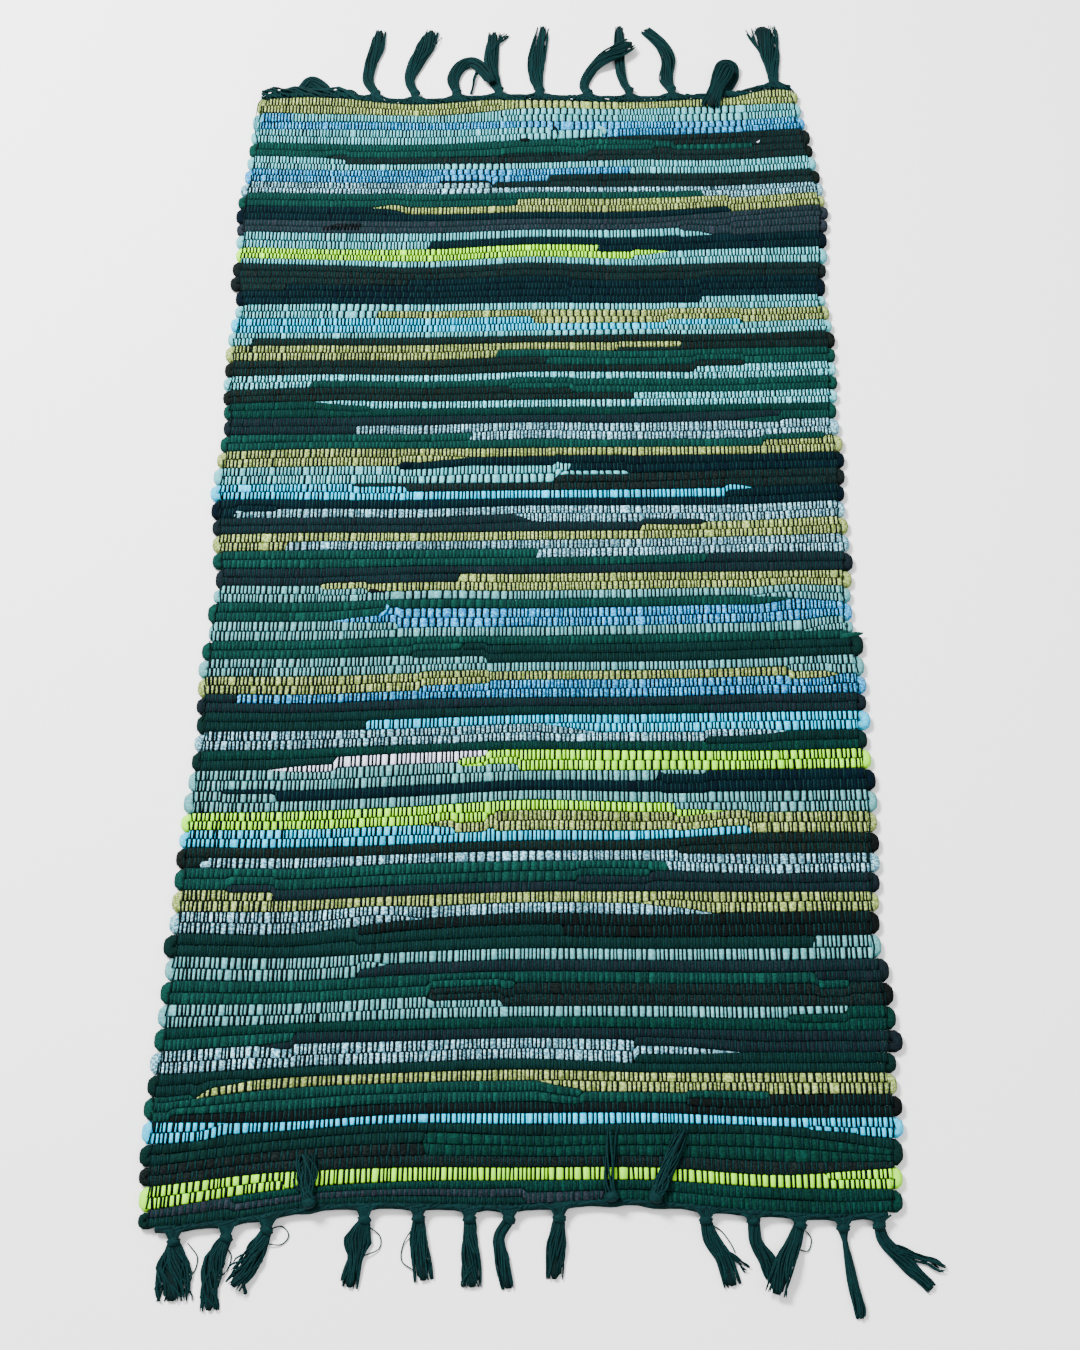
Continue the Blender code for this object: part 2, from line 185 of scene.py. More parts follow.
# The rows of each block, and the line that closes it on the near side.
BLOCKS = (
    ("olive 222.., olive, olive ..-33",
     (575, 571, 568, 577, 574, 577, 580)),
    ("cornflower ..-258, aqua -258.., aqua -33..",
     (561, 560, 557, 558, 556, 555, 560)),
    ("cornflower, cornflower 78.., aqua ..75, aqua ..20",
     (532, 527, 526, 531, 535, 538, 543)),
    ("charcoal -12/160.., charcoal 150.., emerald ..130, emerald ..235, black -32..40 thin, "
     "charcoal -228/-197.., aqua ..-197, charcoal 60..",
     (503, 499, 498, 498, 501, 499, 504)),
    ("aqua, cornflower ..105, cornflower ..18, aqua 105.., black -97..-42 thin, ice ..-42, "
     "charcoal -40.., charcoal 18..",
     (468, 465, 463, 464, 463, 463, 467)),
    ("ice .. slim, ice 180.., emerald ..180, emerald ..-15, olive -15.., olive -178/-130.., "
     "navy ..-148/-120, navy ..207",
     (424, 421, 419, 421, 420, 427, 436)),
    ("slate .. slim, slate .. slim, slate 207.., slate 155.., aqua ..155/197, "
     "aqua ..-105, navy -105..",
     (386, 382, 381, 386, 384, 387, 390)),
    ("lime ..69, navy 69.., lime ..105/158, aqua 105.., aqua",
     (365, 361, 357, 362, 357, 359, 359)),
    ("charcoal, charcoal, charcoal ..-125, navy -125.., charcoal ..-250, navy -250.., navy, "
     "navy ..40, aqua 172..",
     (311, 311, 309, 310, 308, 308, 309)),
    ("aqua, aqua ..-155, olive -155.., olive 3.., sky ..3, sky ..212, aqua 137.., aqua .. slim",
     (268, 267, 267, 268, 269, 268, 271)),
    ("aqua ..-278, blackgreen -280.., olive ..86, olive 86..150 slim, "
     "blackgreen 86..150 thin, blackgreen 150..",
     (250, 249, 248, 251, 248, 250, 251)),
    ("olive ..-33, emerald -33.., blackgreen ..16, emerald 16.., blackgreen ..212, "
     "paleaqua 163..",
     (221, 222, 220, 223, 222, 221, 224)),
    ("paleaqua, paleaqua ..-217, emerald -217.., emerald -20.., blackgreen ..42, "
     "blackgreen ..101, paleaqua 101..",
     (188, 190, 188, 189, 189, 189, 191)),
    ("paleaqua -228/-157.., pine ..-157, pine",
     (170, 170, 171, 171, 171, 174, 174)),
    ("darkslate ..244, emerald 185/244.., darkslate ..-170, ice -170..",
     (150, 150, 149, 153, 150, 151, 155)),
    ("emerald ..-57, ice -57.., emerald ..285, olive 226..",
     (131, 133, 132, 132, 132, 132, 134)),
    ("olive, olive ..-118/-40, navy -125.., aqua ..39, navy 39.., aqua ..30, aqua 30..94 thin, "
     "charcoal 25..",
     (92, 92, 92, 92, 92, 95, 97)),
    ("charcoal -168..-118 thin, charcoal -118.., sky ..-118, sky ..187/221, navy 187..",
     (75, 74, 73, 74, 74, 74, 78)),
    ("navy, navy ..-240, ice -280..",
     (54, 54, 53, 57, 56, 56, 60)),
    ("ice -22/12.., darkslate ..-22/12, darkslate ..165, olive 106..",
     (36, 37, 36, 37, 37, 38, 42)),
    ("olive, olive ..-228, ice -228.., emerald ..8, ice 8..",
     (8, 8, 8, 8, 9, 12, 12)),
    ("emerald ..166, darkslate 166.., darkslate",
     (-11, -12, -9, -10, -9, -9, -8)),
    ("darkslate ..-65, olive -65.., olive -192.., greyaqua ..-150, greyaqua, "
     "greyaqua 192/250..",
     (-38, -39, -36, -37, -36, -35, -42)),
    ("emerald ..200/256, emerald ..-130, cornflower -130.., cornflower -205/-122.., "
     "greyaqua ..-120, greyaqua, greyaqua 240/290..",
     (-79, -79, -76, -76, -75, -73, -72)),
    ("emerald, emerald ..-60, bottle -105.., bottle -60.., greyaqua ..-38",
     (-107, -107, -105, -103, -103, -101, -97)),
    ("greyaqua, greyaqua 235.., olive ..262/285, olive ..-35, cornflower -97.., "
     "darkslate ..-263, cornflower -263..",
     (-142, -144, -140, -139, -139, -137, -136)),
    ("darkslate, darkslate 160.., bottle ..160, bottle ..-145, sky -145..",
     (-171, -171, -169, -165, -165, -164, -163)),
    ("sky 0/60.., ice ..20/75, ice ..190/240, bottle 158.., pine",
     (-200, -198, -193, -190.5, -192, -193, -191)),
    ("bottle ..-170, lavender -242/-180..-36, lime -60.., lime -75/-10.., greyaqua ..-8",
     (-219, -219, -215, -211, -211, -211, -210)),
    ("greyaqua ..114, greyaqua 118..156 thin, navy 114.., navy -267..-220 thin, "
     "navy -220.., greyaqua ..-220, greyaqua",
     (-250, -249, -245, -239, -242, -242, -241)),
    ("greyaqua 128.., lime ..128/186, lime ..-35, olive -28.., olive -100/-62.., sky ..-63, "
     "sky ..192",
     (-282, -283, -280, -277, -277, -271, -271)),
    ("blackgreen, blackgreen 130.., blackgreen ..-276, ice -276..",
     (-301, -302, -298, -296, -296, -300, -299)),
    ("ice 120.., emerald ..120, emerald ..105, darkslate 43.., darkslate -255.., "
     "olive ..-215",
     (-331, -331, -327, -324, -324, -325, -325)),
    ("olive, olive 85/130.., ice ..115/168, ice ..-142/-72",
     (-360, -361, -349, -343, -345, -343, -342)),
    ("black -142.., black 32.., bottle ..32, bottle ..240, greyaqua 240..",
     (-380, -382, -377, -374, -375, -375, -374)),
    ("greyaqua, greyaqua ..-140/-110, darkslate -140..",
     (-401, -402, -397, -394, -395, -396, -394)),
    ("darkslate 240.., emerald ..266, emerald ..-10, charcoal -80.., charcoal -80.., "
     "greyaqua ..-20",
     (-432, -431, -426, -424, -424, -425, -424)),
    ("greyaqua ..263, pine 215.., pine",
     (-451, -446, -444, -442, -443, -445, -445)),
    ("emerald ..-190, darkslate -232/-182.., darkslate 89.., ice ..89, ice ..108/192, "
     "bottle 89..",
     (-480, -475, -471, -468, -472, -472, -472)),
    ("bottle, bottle ..-262/-208, emerald ..-268 thin, olive -270/-250..",
     (-503, -492, -487.5, -485.5, -487, -488, -488)),
    ("olive 0/45.., emerald ..45, emerald ..195, black 130.., black -285..",
     (-519, -519, -513, -512, -512, -516, -516)),
    ("sky ..-266/-232, sky, sky 226..264 thin, sky 264.., bottle",
     (-545, -534, -527, -530, -529, -530, -541)),
    ("bottle ..-80, pine -80.., pine -80.., charcoal ..-80, charcoal",
     (-569, -559, -555, -555, -555, -561, -556)),
    ("lime 238.., lime, lime ..-190",
     (-587, -573, -566, -565, -565, -571, -572)),
    ("pine -230.., slate ..62, pine 62.., bottle ..0", None),
)
print("blocks in the chart:", len(BLOCKS))

# %% [markdown]
# ## Lines and rows
#
# The beater never packs the rows quite straight, so the lines of the chart pass through their
# seven heights as smooth curves. Blender's own curves would do, but a function of x is easier
# to ask for a height. The first and the last line are the rug's ends, and follow the packed
# model's outline. Below, the chart's words become rows: a colour, where it starts and stops,
# and how its height comes and goes there.

# %% Lines
# Where the low corner of the cloth's box lies in the chart, whose origin is the middle of the
# weaving, in metres.
CHART_CORNER = Vector((-0.3060, -0.6010))
CHART_TO_PART = Vector((CLOTH_LOW.x, CLOTH_LOW.y)) - CHART_CORNER


def smooth_line(places, heights):
    """A function of x: a smooth curve through the given heights."""
    places = np.asarray(places, float)
    heights = np.asarray(heights, float)
    slopes = np.gradient(heights, places)

    def line(x):
        x = np.clip(x, places[0], places[-1])
        i = np.clip(np.searchsorted(places, x) - 1, 0, len(places) - 2)
        width = places[i + 1] - places[i]
        t = (x - places[i]) / width
        start, end = heights[i], heights[i + 1]
        rise, fall = slopes[i] * width, slopes[i + 1] * width
        bend = (2 * t**3 - 3 * t**2 + 1) * start + (3 * t**2 - 2 * t**3) * end
        return bend + (t**3 - 2 * t**2 + t) * rise + (t**3 - t**2) * fall

    return line


lines = [smooth_line(list(FAR_EDGE), list(FAR_EDGE.values()))]
for _, heights in BLOCKS[:-1]:
    lines.append(smooth_line(LINE_AT, heights))
lines.append(smooth_line(list(NEAR_EDGE), list(NEAR_EDGE.values())))
print("lines:", len(lines))

# %% Rows
# Beyond either side, where a row without an end of its own ends.
SIDE_END = 1000.0
# A blunt end comes and goes within this distance to each side of its place.
BLUNT = 3.0
# How much of its height a row takes when the chart calls it thin or slim.
SHARES = {"thin": 0.45, "slim": 0.75}
# The thinnest tenth of a taper is cut off.
TIP_CUT = 0.1


def smooth_step(t):
    """0 before t = 0, 1 after t = 1, and a smooth rise between."""
    t = np.clip(t, 0.0, 1.0)
    return t * t * (3.0 - 2.0 * t)


def ends_of(words, opening):
    """Where a row begins or ends: the place where it is gone, and where it is full."""
    if not words:
        return (-SIDE_END, -SIDE_END + 1) if opening else (SIDE_END, SIDE_END - 1)
    if "/" in words:
        first, second = (float(word) for word in words.split("/"))
        return (first, second) if opening else (second, first)
    place = float(words)
    return (place - BLUNT, place + BLUNT) if opening else (place + BLUNT, place - BLUNT)


class Row:
    """One row of the chart: its colour, its two ends and its share of a full height."""

    def __init__(self, words):
        parts = words.split()
        start, stop = parts[1].split("..") if len(parts) > 1 else ("", "")
        self.colour = parts[0]
        self.start = ends_of(start, True)
        self.stop = ends_of(stop, False)
        self.share = SHARES.get(parts[-1], 1.0)

    def presence(self, x):
        """How much of a full height the row has at each x."""
        gone, full = self.start
        opening = smooth_step((x - gone) / (full - gone))
        gone, full = self.stop
        closing = smooth_step((gone - x) / (gone - full))
        there = opening * closing
        return self.share * np.clip((there - TIP_CUT) / (1.0 - TIP_CUT), 0.0, 1.0)


example = Row("aqua ..105")
print(example.colour, "is full up to", example.stop[1], "and gone from", example.stop[0])

# %% The rows of every block
# Two strips that meet end to end within this distance make one row.
JOIN_GAP = 24.0

blocks = []
row_count = 0
for words, _ in BLOCKS:
    rows = [Row(part) for part in words.split(",")]
    for before, row in zip([None, *rows], rows):
        joined = before is not None and abs(before.stop[0] - row.start[0]) < JOIN_GAP
        row_count += 0 if joined else 1
        row.number = row_count
    blocks.append(rows)
print("strips in the chart:", sum(len(rows) for rows in blocks))

# %% [markdown]
# ## The edges of each row
#
# A strip is squeezed by its neighbours, so its height depends on how many there are. Springs
# could find the heights, but sharing is enough: on a fine scale along x, a block's height is
# shared out among the rows that are there, and both edges of each row are then known
# everywhere. A little wander keeps them from being straight.

# %% The sides
# The x of the left and of the right edge at some heights.
LEFT_SIDE = {
    -600: -302.7, -560: -305.7, -500: -307.7, -460: -305.2, -400: -302.2, -330: -301.7,
    -280: -301.7, -210: -298.7, -178: -296.2, -120: -299.7, -40: -295.7, -15: -292.7,
    25: -299.2, 90: -304.7, 160: -299.7, 200: -304.2, 270: -305.2, 312: -298.7, 350: -308.7,
    390: -306.2, 440: -309.7, 480: -305.2, 540: -302.2, 580: -301.2, 600: -294.7,
}
RIGHT_SIDE = {
    -600: 292.6, -560: 297.1, -510: 301.6, -478: 298.6, -450: 303.6, -400: 301.6, -370: 296.1,
    -330: 298.6, -290: 301.6, -225: 304.1, -182: 300.6, -110: 304.1, -62: 296.6, -30: 297.6,
    5: 301.6, 60: 299.1, 122: 303.6, 165: 299.1, 211: 302.6, 267: 304.6, 310: 298.1,
    385: 305.6, 430: 309.1, 470: 305.1, 528: 297.6, 572: 291.1, 600: 286.6,
}
# How much of the rug's side is the turn of a strip.
TURN_SHOWS = 8.5


def side_edge(side, y):
    """The x of the rug's edge at this y."""
    shape = LEFT_SIDE if side < 0 else RIGHT_SIDE
    return float(np.interp(y, list(shape), list(shape.values())))


print("the middle's width:", round(side_edge(1, 0.0) - side_edge(-1, 0.0), 1), "mm")

# %% A slow wander
WAVES = 4
WAVE_PACES = (0.6, 1.6)
WAVE_RADIANS = 6.0
WAVE_SUM = 2.4


def drift(x, y, length, seed):
    """A slow wander between about -1 and 1 that is the same for the same place."""
    phases = random.Random(seed)
    total = 0.0
    for _ in range(WAVES):
        turn = phases.uniform(0.0, math.tau)
        pace = phases.uniform(*WAVE_PACES) / length
        shift = phases.uniform(0.0, math.tau)
        along = x * math.cos(turn) + y * math.sin(turn)
        total = total + np.sin(along * pace * WAVE_RADIANS + shift)
    return total / WAVE_SUM


print("a wander at three places:", [round(float(drift(x, 0.0, 90.0, 1)), 2) for x in (0, 30, 60)])

# %% Row edges
FINE = np.arange(-310.0, 310.5, 1.0)
FINE_MIDDLE = len(FINE) // 2
WANDER_MM, WANDER_LENGTH, WANDER_STEP = 0.35, 90.0, 31.0
# The share of a full height from which a row is woven, counts as one more row, and wanders.
WOVEN_FROM, COUNTED_FROM, WANDERS_FROM = 0.02, 0.4, 0.5
# Where a block has next to nothing in it, its rows don't grow to fill it.
LEAST_TOTAL = 0.3

rows_above = np.zeros(len(FINE))
for index, rows in enumerate(blocks):
    far = lines[index](FINE)
    near = lines[index + 1](FINE)
    shares = np.stack([row.presence(FINE) for row in rows])
    total = np.maximum(shares.sum(axis=0), LEAST_TOTAL)
    edges = far - (far - near) * np.cumsum(shares, axis=0) / total
    above = far
    for row, edge, share in zip(rows, edges, shares):
        wander = WANDER_MM * drift(FINE, row.number * WANDER_STEP, WANDER_LENGTH, row.number)
        row.far = above
        row.near = edge + wander * (share > WANDERS_FROM)
        row.there = share > WOVEN_FROM
        row.above = rows_above.copy()
        rows_above += share > COUNTED_FROM
        above = row.near
cloth_long = float(lines[0](0) - lines[-1](0))
print("a row is about", round(cloth_long / rows_above[FINE_MIDDLE], 1), "mm high")

# %% [markdown]
# ## Where the warp crosses
#
# Each warp thread goes over one row and under the next. So on one row a thread shows every
# 3.6 mm, and on the next row the threads show halfway between those. Whole threads could be
# modelled, but most of each lies hidden, so only the places where one shows are worked out.
# The threads are never quite straight or evenly spaced, and now and then one is missed. In
# some patches they have crept together in pairs, and the ribs there are twice as wide.

# %% Crossings
CROSSING_PITCH = 3.62
CROSSING_JITTER = 0.2
CROSSING_SEED, CROSSING_SEED_STEP = 5, 977
MISSED_SHARE = 0.012
# How far the threads creep sideways, over what length, and how fast that changes along them.
CREEP_MM, CREEP_LENGTH, CREEP_PACE, CREEP_SEED = 0.9, 60.0, 0.35, 11
# Where the threads have crept together in pairs: x from and to, y from and to.
PAIRED = (
    (-15, 95, 525, 600), (-95, -20, 455, 500), (-110, 190, 82, 98), (-290, 290, -547, -524),
    (-120, -20, -75, -30), (150, 230, 505, 575), (-60, 20, -330, -290), (60, 150, -212, -190),
    (-200, -120, 300, 345), (20, 120, 255, 300),
)
LEAST_RIB = 2.1
LEAST_END_RIB = 1.2


def crossings(row, low, high):
    """The x of each warp thread that shows on this row, and whether it was missed."""
    luck = random.Random(row.number * CROSSING_SEED_STEP + CROSSING_SEED)
    y = float(row.near[FINE_MIDDLE])
    first = math.floor(low / CROSSING_PITCH)
    last = math.ceil(high / CROSSING_PITCH)
    places, missed = [], []
    for k in range(first, last + 1):
        x = k * CROSSING_PITCH
        x += 0.5 * CROSSING_PITCH * (round(float(np.interp(x, FINE, row.above))) % 2)
        creep = CREEP_MM * float(drift(x, y * CREEP_PACE, CREEP_LENGTH, CREEP_SEED))
        x += creep + luck.gauss(0.0, CROSSING_JITTER)
        gap = luck.random() < MISSED_SHARE
        if k % 2 and any(a < x < b and c < y < d for a, b, c, d in PAIRED):
            continue
        inside = low + LEAST_END_RIB < x < high - LEAST_END_RIB
        if inside and (not places or x - places[-1] > LEAST_RIB):
            places.append(x)
            missed.append(gap)
    return places, missed


woven_width = side_edge(1, 0.0) - side_edge(-1, 0.0) - 2 * TURN_SHOWS
print("warp threads:", round(2 * woven_width / CROSSING_PITCH))

# %% [markdown]
# ## The rag strips
#
# A strip is a roll of jersey about 9 mm wide. Between two warp threads it swells up into a
# rib, and under a thread it is pulled in. Displacement in the shader would be lighter, but it
# is lost when the rug is exported, so the ribs are modelled: three rings of five points for
# each. A strip is closed, and all strips of one colour make one piece.

# %% Strip heights
VALLEY = 5.9
CROWN = 7.6
PULLED_CROWN = 5.4
# How far a strip's underside is off the floor under a rib, and more where the strip is thin.
UNDER_RIB, UNDER_THIN = 1.3, 2.0
RIB_SHOULDER = 0.28
PULL_NARROWS = 0.10
RIB_SIZE_SPREAD = 0.035
# From this height on a strip is as thick as it gets.
FULL_HEIGHT = 6.0
# Across a strip: each point's place, and whether it touches the neighbour or the floor.
STRIP_SECTION = (-1.0, -0.8, 0.8, 1.0, 0.0)
STRIP_TOUCHES = (1.0, 0.0, 0.0, 1.0, 1.0)
# How much shade is painted on a strip: where it meets its neighbour, where it is pulled in,
# on the right shoulder of each rib, the side away from the lamp, and at its ends.
PAINTED_SHADE_SIDES = 0.3
PAINTED_SHADE_PULLED, PAINTED_SHADE_RIGHT, PAINTED_SHADE_END = 0.9, 0.35, 0.5
# How far a strip is pulled down at its ends, and where a thread is missed.
END_PULL, MISSED_PULL = 0.75, 0.15
# How much the tone changes from rib to rib, and slowly along a strip.
RIB_TONE, STRIP_TONE = 0.22, 0.28
TONE_LENGTH, TONE_STEP, TONE_SEED = 160.0, 47.0, 3


def place_columns(places, missed, low, high, luck):
    """The x of each ring, how far it is pulled down, its rib's tone and how much shade is painted
    on it.
    """
    columns = [(low, END_PULL, 0.0, PAINTED_SHADE_END)]
    if places:
        columns.append((low + (places[0] - low) / 2, 0.0, 0.0, 0.0))
    for place, gap, following in zip(places, missed, [*places[1:], high]):
        width = following - place
        tone = columns[-1][2] if gap else luck.normal(0.0, RIB_TONE)
        # A rib takes painted shade in its dent and on its right shoulder, the side away from the
        # lamp.
        columns += [
            (place, MISSED_PULL if gap else 1.0, tone, 0.0 if gap else PAINTED_SHADE_PULLED),
            (place + RIB_SHOULDER * width, 0.0, tone, 0.0),
            (place + (1 - RIB_SHOULDER) * width, 0.0, tone, PAINTED_SHADE_RIGHT),
        ]
    columns.append((high, END_PULL, columns[-1][2], PAINTED_SHADE_END))
    return np.array(columns).T


print("a rib rises", round(CROWN - PULLED_CROWN, 1), "mm over its dents")

# %% One strip
STRIP_SEED, STRIP_SEED_STEP = 400, 13


def part_frame(points):
    """Chart millimetres as metres in the part's frame."""
    points = np.asarray(points, float) * MM
    points[..., 0] += CHART_TO_PART.x
    points[..., 1] += CHART_TO_PART.y
    return points


def strip(row, low, high):
    """One run of a row, from low to high along x."""
    places, missed = crossings(row, low, high)
    luck = np.random.default_rng(row.number * STRIP_SEED_STEP + int(low + STRIP_SEED))
    x, pull, rib_tone, dent = place_columns(places, missed, low, high, luck)
    far = np.interp(x, FINE, row.far)
    near = np.interp(x, FINE, row.near)
    height = far - near
    size = 1.0 + luck.normal(0.0, RIB_SIZE_SPREAD, len(x))
    fullness = smooth_step(height / FULL_HEIGHT)
    half = 0.5 * height * (1.0 - PULL_NARROWS * pull)
    crown = (CROWN * size - (CROWN - PULLED_CROWN) * pull - VALLEY) * fullness + VALLEY
    under = UNDER_RIB * (1 - pull) + UNDER_THIN * (1 - fullness)
    y = (far + near)[:, None] / 2 + half[:, None] * np.array(STRIP_SECTION)
    valley = np.full(len(x), VALLEY)
    z = np.stack([valley, crown, crown, valley, under], axis=1)
    points = np.stack([np.broadcast_to(x[:, None], y.shape), y, z], axis=2)
    quads, caps = ring_faces(len(x), len(STRIP_SECTION))
    tone = 0.5 + STRIP_TONE * drift(x, row.number * TONE_STEP, TONE_LENGTH, TONE_SEED)
    tone = np.repeat(tone + rib_tone, len(STRIP_SECTION))
    # Shade is painted where the strip meets its neighbour and the floor, and in its dents.
    painted_shade = np.maximum(np.array(STRIP_TOUCHES)[None] * PAINTED_SHADE_SIDES, dent[:, None])
    heap(row.colour).add(part_frame(points), quads, caps, tone, painted_shade.ravel())
    return places, missed


print("points round a strip:", len(STRIP_SECTION))

# %% Weaving
# Where a row's y is taken to find the rug's side: so many steps in from the ends of FINE.
AT_SIDE = 20

runs = []
for rows in blocks:
    for row in rows:
        there = FINE[row.there]
        middle = (row.far + row.near) / 2
        low = max(side_edge(-1, middle[AT_SIDE]) + TURN_SHOWS, there[0])
        high = min(side_edge(1, middle[-AT_SIDE]) - TURN_SHOWS, there[-1])
        places, missed = strip(row, low, high)
        runs.append((row, low, high, places, missed))
print("strips:", len(runs), "ribs:", sum(len(run[3]) for run in runs))

# %% [markdown]
# ## The warp on top
#
# Where a thread crosses a strip, it shows as a thin dark line over the dent it makes. It
# could be painted there, but a real thread stands in the dent and catches some light. A round
# tube for each of eighteen thousand would be heavy, so each is the lightest closed shape: a
# prism of six points that fills the dent over the height of its row.

# %% Warp crossings
THREAD_WIDTH, WIDTH_CHANGES = 1.7, (0.8, 1.2)
THREAD_TOP = 7.0
THREAD_DEEP = 0.9
THREAD_LEAN, LEAN_SEED = 0.22, 71
# A row that is lower than this is too thin to show its threads.
LEAST_ROW = 3.0
# A thread over dark strips is painted lighter, as painted light, and one between the fat light
# ones much darker, as painted shade.
DARK_RAGS = (
    "emerald", "pine", "bottle", "blackgreen", "charcoal", "black", "navy", "slate", "darkslate",
)
PAINTED_LIGHT_ON_DARK, PAINTED_SHADE_ON_LIGHT = 0.7, 0.0
# The outermost thread at each side, which wanders more than the others.
SELVAGE_THREAD, SELVAGE_TOP, SELVAGE_TONE = 1.5, 7.5, 0.2
SELVAGE_FROM = 270.0
SELVAGE_WANDER, SELVAGE_LEAN = 1.3, 0.9
# Between light ribs the threads lie higher, and towards the sides they show wider, most of
# all from this y on towards the near end. The extra width of these dark threads stands for shade
# in the valleys.
LIGHT_TOP, WIDER_IS_HIGHER = 7.15, 0.9
WIDER_AT, WIDER = (-290, -130, 30, 170, 290), (1.28, 1.15, 1.0, 1.0, 1.1)
NEAR_SIDES_WIDER, NEAR_FROM = 0.15, -100
PRISM_QUADS = ((0, 1, 4, 3), (1, 2, 5, 4), (2, 0, 3, 5))
PRISM_CAPS = ((2, 1, 0), (3, 4, 5))


def warp_crossing(target, x, near, far, lean, width, tone, top):
    """One thread over one strip."""
    half = (far - near) / 2
    middle = (far + near) / 2
    points = []
    for sign in (-1, 1):
        y = middle + sign * half
        at = x + sign * lean
        points += [(at + width / 2, y, top), (at - width / 2, y, top), (at, y, top - THREAD_DEEP)]
    target.add(part_frame(points), PRISM_QUADS, PRISM_CAPS, tone)


def row_span(row, x):
    """The y of a row's near and far edge at one place."""
    return float(np.interp(x, FINE, row.near)), float(np.interp(x, FINE, row.far))


lean_luck = random.Random(LEAN_SEED)
for row, low, high, places, missed in runs:
    middle = float(np.mean((row.far + row.near)[row.there]) / 2)
    target = heap("warp_far_half" if middle > 0 else "warp_near_half")
    on_dark = row.colour in DARK_RAGS
    tone = PAINTED_LIGHT_ON_DARK if on_dark else PAINTED_SHADE_ON_LIGHT
    for x, gap in zip(places, missed):
        near, far = row_span(row, x)
        if not gap and far - near > LEAST_ROW:
            lean = lean_luck.gauss(0.0, THREAD_LEAN)
            wider = 1.0 if on_dark else float(np.interp(x, WIDER_AT, WIDER))
            if not on_dark and middle <= NEAR_FROM:
                wider += NEAR_SIDES_WIDER * abs(x) / WIDER_AT[-1]
            width = THREAD_WIDTH * wider * lean_luck.uniform(*WIDTH_CHANGES)
            top = THREAD_TOP if on_dark else LIGHT_TOP + WIDER_IS_HIGHER * (wider - 1.0)
            warp_crossing(target, x, near, far, lean, width, tone, top)
    for x, at_side in ((low, low < -SELVAGE_FROM), (high, high > SELVAGE_FROM)):
        if at_side:
            near, far = row_span(row, x)
            x += lean_luck.uniform(-SELVAGE_WANDER, SELVAGE_WANDER)
            lean = lean_luck.uniform(-SELVAGE_LEAN, SELVAGE_LEAN)
            warp_crossing(
                target, x, near, far, lean, SELVAGE_THREAD, SELVAGE_TONE, SELVAGE_TOP
            )
print("crossings made:", sum(heap(n).count // 6 for n in ("warp_far_half", "warp_near_half")))

# %% [markdown]
# ## Loose ends of rags
#
# Where a rag stops, its end sometimes stands out of the cloth or is rolled into a knob. Chance
# could place some, but the few that the picture shows are listed one by one: short closed tubes,
# each along its own path. A stretch of one dark strip has also sunk in between its threads,
# which leaves a row of black slots.

# %% Loose ends
# Colour, then the path with its radius at each point.
LOOSE_ENDS = (
    ("black", ((25.5, 529, 7.0, 2.6), (28.5, 537, 8.0, 2.4), (27, 544, 8.4, 1.9),
               (23, 550, 8.4, 1.1))),
    ("black", ((-12, 531, 6.4, 2.3), (-8, 530.5, 6.6, 3.0), (-2, 530.5, 6.0, 2.6))),
    ("greyaqua", ((80, 539, 7.2, 3.8), (76, 543, 8.2, 3.2), (71, 549, 8.2, 1.2))),
    ("emerald", ((45, 523, 6.4, 2.0), (48, 526, 7.0, 2.6), (52, 525, 7.2, 2.6),
                 (53, 521, 6.8, 2.3), (49, 519.5, 6.0, 1.8))),
    ("lavender", ((240, 523, 7.2, 1.1), (243, 524.5, 7.6, 1.4))),
    ("navy", ((-126, 112, 5.6, 3.0), (-122, 112.5, 6.0, 4.6), (-118, 113, 6.0, 4.6),
              (-113, 113, 5.4, 3.2))),
    ("black", ((-148, -27, 6.6, 2.5), (-144, -27.5, 6.8, 2.8), (-138, -28, 6.4, 1.8),
               (-131, -28.5, 6.4, 1.9), (-127, -28.5, 6.0, 1.2))),
    ("cornflower", ((-137, -53, 6.4, 1.6), (-132, -51, 6.6, 3.4), (-129, -47, 7.0, 3.2),
                    (-131, -43, 7.0, 1.4))),
    ("ice", ((-281, -298, 5.4, 2.0), (-277, -298, 6.0, 3.6), (-272, -298, 5.6, 3.4))),
    ("ice", ((-284, 61, 4.6, 1.4), (-278, 60.5, 5.4, 2.8), (-272, 60, 5.2, 2.6))),
    ("emerald", ((284, -78, 5.5, 3.0), (291, -78, 6.4, 3.6), (298, -76.5, 6.0, 3.0),
                 (305, -74.5, 5.0, 0.9))),
)
LOOSE_SIDES = 8
LOOSE_POINTS = 3
LOOSE_SLANT, LOOSE_FLAT = 0.35, 0.8
# Loose ends take a little painted shade.
LOOSE_TONE, LOOSE_PAINTED_SHADE = 0.5, 0.1

for colour, stations in LOOSE_ENDS:
    count = len(stations)
    smooth = np.linspace(0, count - 1, LOOSE_POINTS * count)
    values = [np.interp(smooth, range(count), column) for column in zip(*stations)]
    points = []
    for x, y, z, radius in zip(*values):
        for k in range(LOOSE_SIDES):
            angle = -math.tau * k / LOOSE_SIDES
            across, up = radius * math.cos(angle), radius * math.sin(angle)
            points.append((x + LOOSE_SLANT * across, y + across, z + LOOSE_FLAT * up))
    quads, caps = ring_faces(len(smooth), LOOSE_SIDES)
    heap(colour).add(part_frame(points), quads, caps, LOOSE_TONE, LOOSE_PAINTED_SHADE)
print("loose ends:", len(LOOSE_ENDS))

# %% The row of slots
SLOTS_FROM, SLOTS_TO, SLOTS_Y = -215.0, -178.0, (408.0, 416.5)
SLOT_LEAN, SLOT_WIDTH, SLOT_TOP = 0.6, 2.1, 7.9
# The first slots are shorter.
SHORT_OVER, SHORT_BY = 14.0, 4.0

